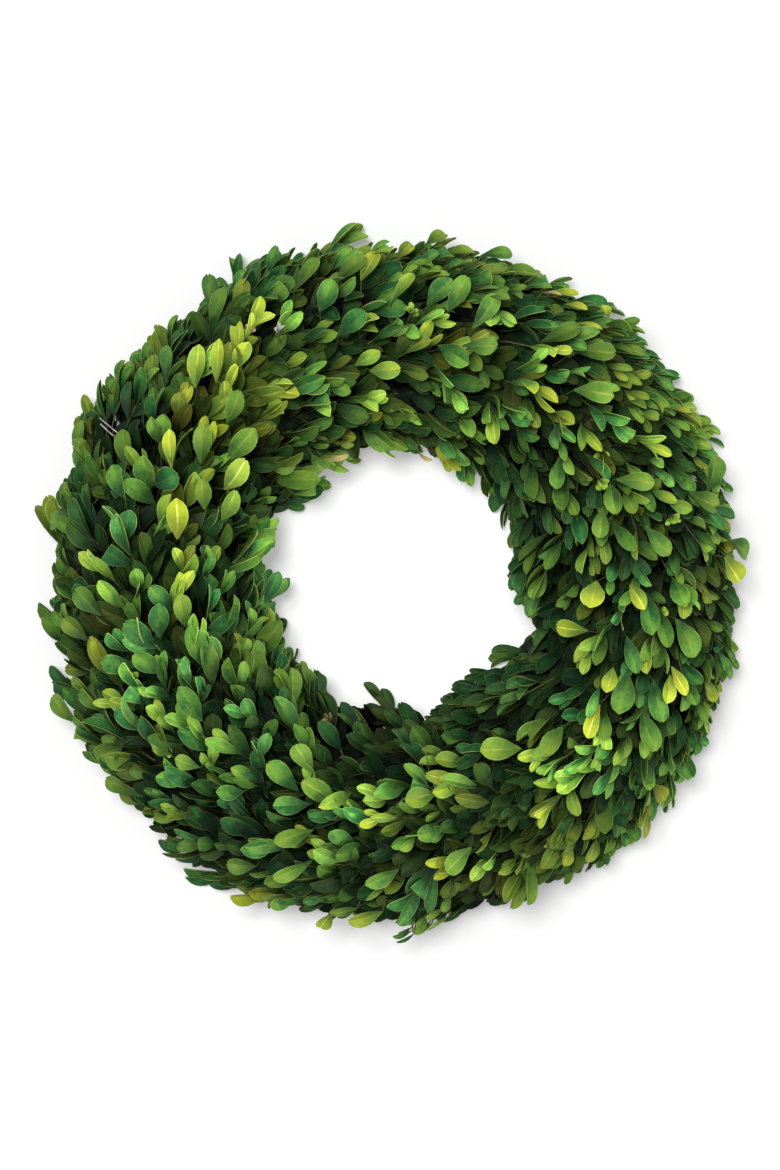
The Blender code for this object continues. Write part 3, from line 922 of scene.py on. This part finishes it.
# %% Buds
BUD_SHARE = 0.04
BUD_SCALES = 8
GOLDEN_ANGLE = math.radians(137.5)
BUD_OPENING, BUD_SPREAD = 10.0, 8.0
BUD_OPENS, SILVERY_OPENS = 62.0, 26.0
BUD_WIDTHS, BUD_LENGTHS = (0.26, 0.36), (0.16, 0.24)
BUD_TONE, BUD_LIGHT = 0.66, 0.85
YOUNG, DRY, SILVERY = 0.3, 2.0, 3.0


def add_buds(bm, sprig, scale, age, draw):
    """Adds a tight cluster of pale scales at the tip of a sprig, the outer ones wider open."""
    count = round(BUD_SCALES * scale)
    widest = SILVERY_OPENS if age == SILVERY else BUD_OPENS
    for number in range(count):
        opening = BUD_OPENING + widest * number / count + draw.uniform(-BUD_SPREAD, BUD_SPREAD)
        heading, away = leaf_heading(sprig, number * GOLDEN_ANGLE, math.radians(opening))
        size = (scale * draw.uniform(*BUD_WIDTHS), scale * draw.uniform(*BUD_LENGTHS))
        colour = (BUD_TONE, BUD_LIGHT, YOUNG if age == SILVERY and number % 3 == 0 else age)
        form = draw.choice(inner_forms)
        add_leaf(bm, form, sprig.tip, heading, sprig.face - away, size, colour)


print("scales in a cluster of buds:", BUD_SCALES)

# %% Adding the leaves that stand out
SHOWN_BUDS = 1.25


def add_shown_leaves(bm, row, station, draw):
    """Adds the leaves that stand out in this bunch, and returns them."""
    found = []
    for leaf in shown_leaves:
        if bunch_of(leaf.turn, SHOWN_HEIGHT, leaf.slope) != (row, station):
            continue
        found.append(leaf)
        if "buds" in leaf.kind:
            age = SILVERY if "silvery" in leaf.kind else YOUNG
            add_buds(bm, leaf, SHOWN_BUDS, age, draw)
            continue
        form = draw.choice(cut_forms if leaf.kind == "cut" else whole_forms)
        colour = (leaf.tone, leaf.shade, DRY if leaf.kind == "dry" else 0.0)
        add_leaf(bm, form, leaf.tip, leaf.heading, leaf.face, leaf.size, colour)
    return found


# %% [markdown]
# ## Stems
# The stems of a bunch lie side by side under the wire and spread from there to their sprigs. A
# curve with a round bevel makes such a thin tube, and a radius at each point lets it taper. All
# stems of a bunch are strands of one curve, which is then turned into a mesh. The wire is made the
# same way further down.

# %% Tubes along lines
def linked(name, data):
    """A new object with this data, in the scene."""
    made = bpy.data.objects.new(name, data)
    bpy.context.scene.collection.objects.link(made)
    return made


def tube_mesh(name, radius, roundness, strands):
    """Closed tubes as one mesh. A strand is its points, their widths and whether it is a loop."""
    line = bpy.data.curves.new(name, "CURVE")
    line.dimensions = "3D"
    line.bevel_depth = radius
    line.bevel_resolution = roundness
    line.use_fill_caps = True
    for points, widths, loop in strands:
        spline = line.splines.new("POLY")
        spline.points.add(len(points) - 1)
        for spline_point, point, width in zip(spline.points, points, widths):
            spline_point.co = (*point, 1.0)
            spline_point.radius = width
        spline.use_cyclic_u = loop
    holder = linked(name, line)
    graph = bpy.context.evaluated_depsgraph_get()
    mesh = bpy.data.meshes.new_from_object(holder.evaluated_get(graph))
    bpy.data.objects.remove(holder)
    bpy.data.curves.remove(line)
    mesh.name = name
    return mesh


# %% Stems of one bunch
TWIG_RADIUS = 0.00062
TWIG_ROUNDNESS = 1
FOOT_WIDTH, TAPER = 1.15, 0.6
LANES, LANE_DEPTH = 5, 0.9
BOUND_RUNS = (-STEM_TAIL, -3 * STEM_BEND, -STEM_BEND)


def stem_route(row, station, lane, sprig):
    """Points of one stem, from its cut end under the wire to the tip of its sprig or its leaf."""
    slope = math.radians(ROW_MIDDLES[row])
    start = row_start(row, station)
    level = stem_top(row) - STEM_HALF_THICKNESS
    across = (lane % LANES - (LANES - 1) / 2) * 2 * STEM_HALF_WIDTH / LANES
    through = (lane // LANES - 0.5) * STEM_HALF_THICKNESS * LANE_DEPTH
    bound = []
    for run in BOUND_RUNS:
        turn = start + run / local_radius(level, slope)
        bound.append(place(turn, level + through, slope) + across * directions(turn, slope)[2])
    bend = bound[-1].lerp(sprig.foot, 0.5)
    top = [sprig.knee.lerp(sprig.tip, share) for share in (0.33, 0.67, 1.0)]
    return bound + [bend, sprig.foot, sprig.knee] + top


def stems_mesh(routes):
    """Tapered tubes along the routes."""
    strands = []
    for route in routes:
        widths = [FOOT_WIDTH - TAPER * number / len(route) for number in range(len(route))]
        strands.append((route, widths, False))
    return tube_mesh("stems", TWIG_RADIUS, TWIG_ROUNDNESS, strands)


# %% [markdown]
# ## The heart of a bunch
# Deep inside, twigs and old leaves are packed so tightly that no light passes. A lumpy block
# stands for them in each bunch, well below the tips, painted nearly black as painted shade. It is a
# cube, divided and then bent round the ring, and short leaves, dark with painted shade, grow from
# it to hide it.

# %% Heart of one bunch
HEART_BOTTOM = 0.0265
HEART_TOPS = {"inner": 0.0455, "front": 0.0375, "outer": 0.0460}
HEART_HALF_WIDTH = math.radians(33.3)
HEART_LENGTH = 0.985
HEART_CUTS = 9
HEART_LUMPS, LUMP_SIZE = 0.0016, 0.006


def heart_point(row, station, share, side, depth):
    """A point of a heart, by shares of its length, its width and its depth."""
    slope = math.radians(ROW_MIDDLES[row]) + (2 * side - 1) * HEART_HALF_WIDTH
    height = HEART_BOTTOM + depth * (HEART_TOPS[row] - HEART_BOTTOM)
    turn = swept_turn(row_start(row, station), height, slope) + share * STATION_TURN
    point = place(turn, height, slope)
    lump = noise.noise(point / LUMP_SIZE) * HEART_LUMPS
    return point + directions(turn, slope)[1] * lump * (2 * depth - 1)


def heart_mesh(row, station):
    bm = bmesh.new()
    bmesh.ops.create_cube(bm, size=1.0)
    bmesh.ops.subdivide_edges(bm, edges=bm.edges, cuts=HEART_CUTS, use_grid_fill=True)
    for vertex in bm.verts:
        share, side, depth = (coordinate + 0.5 for coordinate in vertex.co)
        vertex.co = heart_point(row, station, share * HEART_LENGTH, side, depth)
    bmesh.ops.recalc_face_normals(bm, faces=bm.faces)
    return finished_mesh(bm, "heart")


# %% Short leaves on a heart
INNER_LEAVES = {"inner": 74, "front": 48, "outer": 110}
UNDER_LEAVES = 10
SKIRT_EVERY = 2
SKIRT_SIDES = {"inner": (0.0, 0.35), "outer": (0.6, 1.0)}
DEPTHS = {"under": 0.05, "skirt": 1.1, "short": 0.9}
INNER_LEANS = {"under": (-12.0, 4.0), "skirt": (24.0, 54.0), "short": (12.0, 40.0)}
INNER_DRIFT = 26.0
INNER_UPTURN, INNER_ROLL = 0.5, 0.5
INNER_WIDTHS, INNER_LENGTHS = (0.8, 1.05), (0.75, 1.0)
INNER_TONE = -0.15


def add_inner_leaves(bm, row, station, draw):
    """Adds short leaves to the heart of a bunch, some below it, and a skirt of them at its side."""
    for number in range(INNER_LEAVES[row] + UNDER_LEAVES):
        share, side = draw.uniform(0, 1), draw.uniform(0, 1)
        kind = "under" if number >= INNER_LEAVES[row] else "short"
        skirt = number % SKIRT_EVERY == 0 and row in SKIRT_SIDES
        if skirt:
            side = draw.uniform(*SKIRT_SIDES[row])
        if skirt and kind == "short":
            kind = "skirt"
        slope = math.radians(ROW_MIDDLES[row]) + (2 * side - 1) * HEART_HALF_WIDTH
        foot = heart_point(row, station, share, side, DEPTHS[kind])
        turn = math.atan2(foot.x - RING_MIDDLE.x, foot.y - RING_MIDDLE.y)
        along, out, around = directions(turn, slope)
        if skirt:
            foot += out * edge_reach(turn, slope)
        lean = math.radians(draw.uniform(*INNER_LEANS[kind]))
        drift = math.radians(draw.gauss(0.0, INNER_DRIFT))
        heading = math.cos(lean) * (math.cos(drift) * along + math.sin(drift) * around)
        heading += math.sin(lean) * out
        face = -out if kind == "under" else out + INNER_UPTURN * UP
        face = face + INNER_ROLL * draw.uniform(-1, 1) * around
        size = (draw.uniform(*INNER_WIDTHS), draw.uniform(*INNER_LENGTHS))
        tone = sprig_tone(foot, draw) + INNER_TONE
        grow_leaf(bm, inner_forms, draw, foot, heading, face, size, tone)


print("short leaves in all:", sum(n + UNDER_LEAVES for n in INNER_LEAVES.values()) * STATIONS)

# %% [markdown]
# ## The waxy leaf
# A boxwood leaf is satin green, with a pale midrib, faint side veins and a duller, paler lower
# side. Its middle is lighter than its darker margin, as a painted highlight, and a thin pale rim
# round it is a painted edge highlight. Its foot is painted darker, as painted shade, and its two
# halves are painted one lighter and one darker, as light falls on a fold. Its tone and shade are
# stored on its vertices, so one material serves thousands of leaves; the shade is painted light
# and shade with a random brightness. Each row of bunches gets its own material, a little
# different, with its own painted light.
# The inner leaves are dusty and have hardly any sheen.

# %% Leaf materials
TONES = [
    (0.0, (0.018, 0.112, 0.031)), (0.25, (0.042, 0.195, 0.043)), (0.5, (0.132, 0.312, 0.040)),
    (0.75, (0.196, 0.325, 0.038)), (1.0, (0.262, 0.312, 0.020)),
]
PALE = (0.80, 0.84, 0.19, 1.0)
LOWER_SIDE = (0.10, 0.19, 0.035, 1.0)
AGED = (0.140, 0.150, 0.028, 1.0)
DRIED = (0.34, 0.29, 0.11, 1.0)
SILVER = (0.34, 0.36, 0.31, 1.0)
SPOTTED = (0.090, 0.055, 0.020, 1.0)
LEAST_COLOUR = (0.0022, 0.0010, 0.0030, 1.0)
# painted light: how brightly each row's leaves are painted lit
ROW_PAINTED_LIGHT = {"inner": 1.28, "front": 1.86, "outer": 1.10}
VEINS, VEIN_SLANT = 88.0, 0.16


def leaf_material(row, name, sheen):
    leaf = Recipe(f"{name}_{row}")
    tone, shade, age, below = (
        leaf.node("ShaderNodeAttribute", {"attribute_name": name}, output=2)
        for name in ("tone", "shade", "age", "below")
    )
    uv = leaf.node("ShaderNodeUVMap", {"uv_map": "leaf"})
    across = leaf.node("ShaderNodeSeparateXYZ", None, {0: uv})
    along = leaf.node("ShaderNodeSeparateXYZ", None, {0: uv}, output=1)
    off_middle = abs(across - 0.5) * 2.0
    # the two halves of the leaf, one painted lighter and the other darker, as light falls on a fold
    lit_and_shaded_halves = leaf.band(across, 0.47, 0.53) - 0.5
    patch = leaf.noise(70.0, 1.0)
    mottle = leaf.noise(420.0, 3.0)
    fine = leaf.noise(1900.0, 2.0)
    # where the parts of a leaf are
    midrib = leaf.band(off_middle, 0.16, 0.03) * leaf.band(patch, 0.30, 0.60)
    # a painted highlight down the middle of the leaf, away from its foot
    painted_glow = leaf.band(off_middle, 0.95, 0.10) * leaf.band(along, 0.10, 0.45)
    # a painted edge highlight: a thin pale rim round the leaf
    painted_rim_highlight = leaf.band(off_middle, 0.93, 0.99) + leaf.band(along, 0.975, 0.999)
    # painted shade at the leaf's foot, where its neighbours shade it
    foot = leaf.band(along, 0.70, 0.08)
    spots = leaf.band(fine * 0.5 + mottle * 0.5, 0.62, 0.70) * leaf.band(age, 0.0, 1.0)
    # their greens, with painted light and shade: a painted highlight down the middle, painted shade
    # at the foot, and one half painted lighter than the other
    mixed_tone = tone + 0.22 * painted_glow * leaf.band(patch, 0.70, 0.35) + (mottle - 0.5) * 0.36
    mixed_tone = mixed_tone - 0.12 * foot + (patch - 0.5) * 0.9 * lit_and_shaded_halves
    colour = leaf.ramp(TONES, mixed_tone)
    colour = leaf.mix(midrib * (0.05 + 0.40 * leaf.band(tone, 0.30, 0.90)), colour, PALE)
    colour = leaf.mix(painted_rim_highlight * 0.40, colour, PALE)
    colour = leaf.mix(below * 0.40, colour, LOWER_SIDE)
    # age
    colour = leaf.mix(age * 0.45, colour, AGED)
    colour = leaf.mix(leaf.band(age, DRY - 1.0, DRY), colour, DRIED)
    colour = leaf.mix(leaf.band(age, DRY, SILVERY), colour, SILVER)
    colour = leaf.mix(spots, colour, SPOTTED)
    # the painted light and shade of its place: the row's painted light, the leaf's shade, a random
    # mottle, painted shade at the foot and painted light and shade on the two halves
    light = shade * ROW_PAINTED_LIGHT[row] * (0.58 + fine * 0.34 + mottle * 0.50) * (1.0 - 0.60 * foot)
    light = light * (1.0 + (patch - 0.5) * 1.6 * lit_and_shaded_halves)
    grey = leaf.node("ShaderNodeCombineColor", None, {0: light, 1: light, 2: light})
    colour = leaf.mix(1.0, colour, grey, blend="MULTIPLY")
    colour = leaf.mix(1.0, colour, LEAST_COLOUR, blend="ADD")
    slanted = (along - off_middle * VEIN_SLANT) * VEINS
    veins = leaf.node("ShaderNodeMath", {"operation": "SINE"}, {0: slanted})
    leaf.set(Base_Color=colour, Roughness=0.42 + 0.18 * mottle + 0.15 * below,
             Specular_IOR_Level=sheen)
    leaf.bump(midrib * -0.8 + veins * 0.10 * (1.0 - off_middle) + fine * 0.25, 0.00012, 0.7)
    return leaf.material


leaf_finish = {row: leaf_material(row, "leaves", 0.11) for row in ROW_MIDDLES}
inner_finish = {row: leaf_material(row, "inner_leaves", 0.04) for row in ROW_MIDDLES}
print("materials of the leaves:", len(leaf_finish) + len(inner_finish))

# %% [markdown]
# ## Twig and heart
# Young boxwood stems are green-brown and slightly furrowed. The heart is nearly black with a trace
# of green, as painted shade, because it stands where only shade is and is only seen through gaps.

# %% Twig and heart materials
TWIG_BARK = [(0.25, (0.025, 0.040, 0.009)), (0.55, (0.065, 0.085, 0.017)),
             (0.80, (0.130, 0.100, 0.035))]
# painted shade: the heart's near-black colours
HEART_PAINTED_SHADES = [(0.35, (0.004, 0.003, 0.005)), (0.55, (0.009, 0.014, 0.007)),
               (0.75, (0.022, 0.038, 0.012))]


def twig_material():
    twig = Recipe("twigs")
    grain = twig.noise(900.0, 3.0)
    patches = twig.noise(90.0, 2.0)
    colour = twig.ramp(TWIG_BARK, patches * 0.7 + grain * 0.3)
    twig.set(Base_Color=colour, Roughness=0.55 + 0.25 * grain)
    twig.bump(grain, 0.0002, 0.6)
    return twig.material


def heart_shade_material():
    heart = Recipe("heart")
    leaves = heart.noise(240.0, 4.0)
    heart.set(Base_Color=heart.ramp(HEART_PAINTED_SHADES, leaves), Roughness=1.0, Specular_IOR_Level=0.1)
    heart.bump(leaves, 0.002, 0.8)
    return heart.material


twig_finish, heart_shade_finish = twig_material(), heart_shade_material()
print("nodes of the twig material:", len(twig_finish.node_tree.nodes))

# %% [markdown]
# ## The bunches
# Each bunch is one piece that takes its solid's place: sprigs, the short inner leaves, the stems
# and the heart, with a material slot for each.

# %% A finished piece
pieces = []


def triangles(mesh):
    return sum(len(face.vertices) - 2 for face in mesh.polygons)


def finished_piece(name, mesh, finishes, node):
    """Puts a mesh in the scene with its materials, in the place of a node of the part."""
    for finish in finishes:
        mesh.materials.append(finish)
    piece = linked(name, mesh)
    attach(piece, "root")
    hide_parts(node)
    pieces.append(piece)


# %% Building the bunches
BUNCH_SEED = 500


def add_part(bm, mesh, slot):
    """Adds a mesh to bm with one of its material slots, and removes the mesh."""
    first = len(bm.faces)
    bm.from_mesh(mesh)
    bm.faces.ensure_lookup_table()
    for face in bm.faces[first:]:
        face.material_index = slot
        face.smooth = True
    bpy.data.meshes.remove(mesh)


def bunch_piece(row, station, draw):
    bm = bmesh.new()
    add_layers(bm)
    routes = []
    for lane, spot in enumerate(sprigs_of[row, station]):
        sprig = Sprig(*spot, draw)
        add_sprig_leaves(bm, sprig, draw)
        routes.append(stem_route(row, station, lane, sprig))
    for leaf in add_shown_leaves(bm, row, station, draw):
        routes.append(stem_route(row, station, len(routes), leaf))
    add_inner_leaves(bm, row, station, draw)
    add_part(bm, stems_mesh(routes), TWIG_SLOT)
    add_part(bm, heart_mesh(row, station), HEART_SLOT)
    place_name = f"{row}_{station + 1:02d}"
    mesh = finished_mesh(bm, f"sprigs_{place_name}")
    finishes = (leaf_finish[row], twig_finish, heart_shade_finish, inner_finish[row])
    finished_piece(mesh.name, mesh, finishes, f"bunch_{place_name}")
    return triangles(mesh)


counts = [
    bunch_piece(row, station, random.Random(BUNCH_SEED + number))
    for number, (row, station) in enumerate(sprigs_of)
]
print("triangles of the bunches:", sum(counts), "the largest:", max(counts))
for form in leaf_forms + inner_forms:
    bpy.data.meshes.remove(form)

# %% [markdown]
# ## The straw ring
# The ring is rye straw, pressed and bound, with the stalks running round it. Its section is turned
# round the ring by a spin, then every point is moved: in at the wire's turns, out and in by the
# stalks, and flat where it lies on its back.

# %% Straw ring
STRAW_SEGMENTS = 44
STRAW_STEPS = 14
STALK_RELIEF = 0.00045
STALKS_ACROSS, STALKS_ALONG = 9.0, 2.2
STRAW_SIDES = 8
WIRE_GRIP = 0.955


def waist_share(turn):
    """1 where the wire pulls the straw in, 0 between two turns of it."""
    return math.cos(math.pi * (turn / STATION_TURN % 1.0)) ** 2


def straw_height(turn, slope):
    """How far the straw's surface is from the centre line."""
    corner = 0.5 - 0.5 * math.cos(STRAW_SIDES * slope)
    full = STRAW_FLAT + (STRAW_RADIUS - STRAW_FLAT) * corner
    across = (math.cos(slope) * STALKS_ACROSS, math.sin(slope) * STALKS_ACROSS)
    stalk = noise.noise(Vector((*across, turn * STALKS_ALONG)))
    return full + (WAIST_RADIUS * WIRE_GRIP - full) * waist_share(turn) ** 3 + STALK_RELIEF * stalk


def straw_ring():
    bm = bmesh.new()
    bmesh.ops.create_circle(bm, segments=STRAW_SEGMENTS, radius=STRAW_RADIUS)
    bmesh.ops.rotate(bm, verts=bm.verts, matrix=Matrix.Rotation(math.pi / 2, 3, "Y"))
    bmesh.ops.translate(bm, verts=bm.verts, vec=(0.0, RING_RADIUS, 0.0))
    bmesh.ops.spin(bm, geom=bm.verts[:] + bm.edges[:], cent=(0, 0, 0), axis=(0, 0, 1),
                   angle=-math.tau, steps=STRAW_STEPS * STATIONS, use_merge=True)
    for vertex in bm.verts:
        turn = math.atan2(vertex.co.x, vertex.co.y)
        slope = math.atan2(math.hypot(vertex.co.x, vertex.co.y) - RING_RADIUS, vertex.co.z)
        vertex.co = place(turn, straw_height(turn, slope), slope)
        vertex.co.z = max(vertex.co.z, WAIST_LIFT * waist_share(turn) ** 3)
    bmesh.ops.recalc_face_normals(bm, faces=bm.faces)
    for face in bm.faces:
        face.smooth = True
    return finished_mesh(bm, "straw")


# %% Straw material
STRAW_TANS = [(0.25, (0.12, 0.075, 0.025)), (0.5, (0.36, 0.25, 0.10)), (0.75, (0.58, 0.45, 0.22))]


def straw_material():
    straw = Recipe("straw")
    stalks = straw.noise(260.0, 4.0)
    fine = straw.noise(1500.0, 2.0)
    colour = straw.ramp(STRAW_TANS, stalks * 0.75 + fine * 0.25)
    straw.set(Base_Color=colour, Roughness=0.60 + 0.3 * fine)
    straw.bump(stalks + fine * 0.4, 0.0006, 0.8)
    return straw.material


straw_mesh = straw_ring()
finished_piece("straw", straw_mesh, [straw_material()], "straw_ring")
print("triangles of the straw:", triangles(straw_mesh))

# %% [markdown]
# ## The wire
# One length of wire is wound round the ring. Its route has a bend over each corner of the stems.
# Real wire can't bend to a point, so each bend is cut back on both sides before the line is given
# its round section. Its two loose ends stick out through the leaves at the left.

# %% Route of the wire
BEND_CUT = 0.0012
RUN_PER_CUT = 2.5


def wire_corners():
    """The corners of the wire's turns: over the front, then across the ring's flat back."""
    reach = WAIST_RADIUS * math.sin(math.pi / STRAW_SIDES) + WIRE_RADIUS
    level = WAIST_LIFT - WIRE_RADIUS - SEAT_GAP - RING_MIDDLE.z
    corners = []
    for station in range(STATIONS):
        for degrees, height in wire_bends():
            corners.append(place(wire_turn(station, degrees), height, math.radians(degrees)))
        for side in (reach, -reach):
            back = RING_MIDDLE + (RING_RADIUS + side) * outwards((station + 1) * STATION_TURN)
            corners.append(back + level * UP)
    return corners


def rounded(corners):
    """The line with each corner replaced by three points of a small arc."""
    points = []
    for number, corner in enumerate(corners):
        before = corners[number - 1] - corner
        after = corners[(number + 1) % len(corners)] - corner
        cut = min(BEND_CUT, before.length / RUN_PER_CUT, after.length / RUN_PER_CUT)
        start, end = corner + before.normalized() * cut, corner + after.normalized() * cut
        points += [start, (start + end + 2 * corner) / 4, end]
    return points


print("corners of the wire:", len(wire_corners()))

# %% Loose ends of the wire
WIRE_ENDS = [
    # turn in degrees and radius in mm where an end comes out of the leaves, and where it stops
    (299.3, 183.5, 299.9, 198.0),
    (298.5, 185.0, 299.1, 194.5),
]
END_STATION = 13
END_STEEPEST = 0.97
UNDER_BACK, UNDER_DOWN = 0.012, 0.009


def wire_end(row):
    """The route of a loose end, from the wire at the ring's outer side up to the gap."""
    middle, top = ROW_MIDDLES["outer"], stem_top("outer") + WIRE_RADIUS
    places = [(wire_turn(END_STATION, middle), top, math.radians(middle))]
    for turn, radius in (row[0:2], row[2:4]):
        reach = radius / 1000 - RING_RADIUS
        steepness = min(reach / SHOWN_HEIGHT, END_STEEPEST)
        places.append((math.radians(turn), SHOWN_HEIGHT, math.asin(steepness)))
    start, bend, tip = (place(*where) for where in places)
    under = bend + (bend - tip).normalized() * UNDER_BACK
    under.z = bend.z - UNDER_DOWN
    return [start, start.lerp(under, 0.5), under, bend, bend.lerp(tip, 0.5), tip]


# %% Binding wire
WIRE_ROUNDNESS = 2
STEEL = [(0.3, (0.34, 0.33, 0.30)), (0.7, (0.62, 0.61, 0.57))]


def wire_mesh():
    routes = [rounded(wire_corners())] + [wire_end(row) for row in WIRE_ENDS]
    strands = [(route, [1.0] * len(route), number == 0) for number, route in enumerate(routes)]
    return tube_mesh("wire", WIRE_RADIUS, WIRE_ROUNDNESS, strands)


def wire_material():
    steel = Recipe("wire")
    dull = steel.noise(600.0, 3.0)
    steel.set(Base_Color=steel.ramp(STEEL, dull), Roughness=0.28 + 0.3 * dull, Metallic=1.0)
    return steel.material


wire = wire_mesh()
finished_piece("wire", wire, [wire_material()], "binding_wire")
print("triangles of the wire:", triangles(wire))

# %% [markdown]
# ## Floor, light and camera
# The wreath lies on a white table and is seen from straight above, so that its face looks as it
# would on a wall. A wide key light from nearly overhead and the light of the room leave a soft
# edge of shadow all round. A lower light from the right brightens the sides that face it. It is
# linked to the wreath alone, so that it lays no second shadow on the table, and the table glows a
# little, most of all inside the hole, so that it stays white in the wreath's own shade.

# %% Floor
FLOOR_SIZE = 30.0
TABLE = (0.85, 0.85, 0.85, 1.0)
HOLE_GLOW, TABLE_GLOW = (0.36, 0.36, 0.36, 1.0), (0.20, 0.20, 0.20, 1.0)
GLOW_CHANGES = (0.02, 0.16)


def floor():
    bm = bmesh.new()
    bmesh.ops.create_grid(bm, x_segments=1, y_segments=1, size=FLOOR_SIZE / 2)
    mesh = finished_mesh(bm, "floor")
    paint = Recipe("floor")
    where = paint.node("ShaderNodeTexCoord", output=3)
    far = paint.node("ShaderNodeVectorMath", {"operation": "LENGTH"}, {0: where}, output=1)
    # painted light: the table glows, most of all inside the hole, to stay white in the wreath's
    # shade
    painted_glow = paint.mix(paint.band(far, *GLOW_CHANGES), HOLE_GLOW, TABLE_GLOW)
    paint.set(Base_Color=TABLE, Roughness=0.9, Emission_Color=painted_glow, Emission_Strength=1.0)
    mesh.materials.append(paint.material)
    linked("floor", mesh)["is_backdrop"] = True


floor()
print("width of the floor, in m:", FLOOR_SIZE)

# %% Light
def sun(name, energy, width, direction):
    """A distant light of some width in degrees, from a direction."""
    light = bpy.data.lights.new(name, "SUN")
    light.energy = energy
    light.angle = math.radians(width)
    lamp = linked(name, light)
    lamp.rotation_euler = Vector(direction).to_track_quat("Z", "Y").to_euler()
    return lamp


sun("key", 2.2, 26.0, (-0.20, 0.21, 1.0))
side_lamp = sun("side", 1.5, 14.0, (0.94, -0.34, 0.60))
lit = bpy.data.collections.new("lit_from_the_side")
for piece in pieces:
    lit.objects.link(piece)
side_lamp.light_linking.receiver_collection = lit

# %% Light of the room
ROOM_LIGHT = 0.35

world = bpy.data.worlds.new("studio")
bpy.context.scene.world = world
world.use_nodes = True
room = world.node_tree.nodes["Background"]
room.inputs["Color"].default_value = (1.0, 1.0, 1.0, 1.0)
room.inputs["Strength"].default_value = ROOM_LIGHT
bpy.context.scene.view_settings.view_transform = "Standard"
print("strength of the room's light:", ROOM_LIGHT)

# %% Camera
PICTURE_WIDTH, PICTURE_HEIGHT = 780, 1170
WREATH_PIXEL = (396.0, 586.0)
WREATH_PIXEL_RADIUS, WREATH_RADIUS = 346.0, 0.2009
LENS, SENSOR = 106.0, 36.0
LEAF_LEVEL = 0.025

pixel_size = WREATH_RADIUS / WREATH_PIXEL_RADIUS
camera = bpy.data.cameras.new("camera")
camera.lens = LENS
camera.sensor_width = SENSOR
camera.clip_start, camera.clip_end = 0.1, 20.0
camera_stand = linked("camera", camera)
camera_stand.location = ((PICTURE_WIDTH / 2 - WREATH_PIXEL[0]) * pixel_size,
                         (WREATH_PIXEL[1] - PICTURE_HEIGHT / 2) * pixel_size,
                         LEAF_LEVEL + PICTURE_HEIGHT * pixel_size * LENS / SENSOR)
bpy.context.scene.camera = camera_stand
print("camera height in m:", round(camera_stand.location.z, 3))

# %% Boxes of the part and of the finished wreath, and the end
visual_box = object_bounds()
for name, box in (("CAD", cad_box), ("visual", visual_box)):
    print(name, "box in mm:", [in_mm(corner) for corner in box])
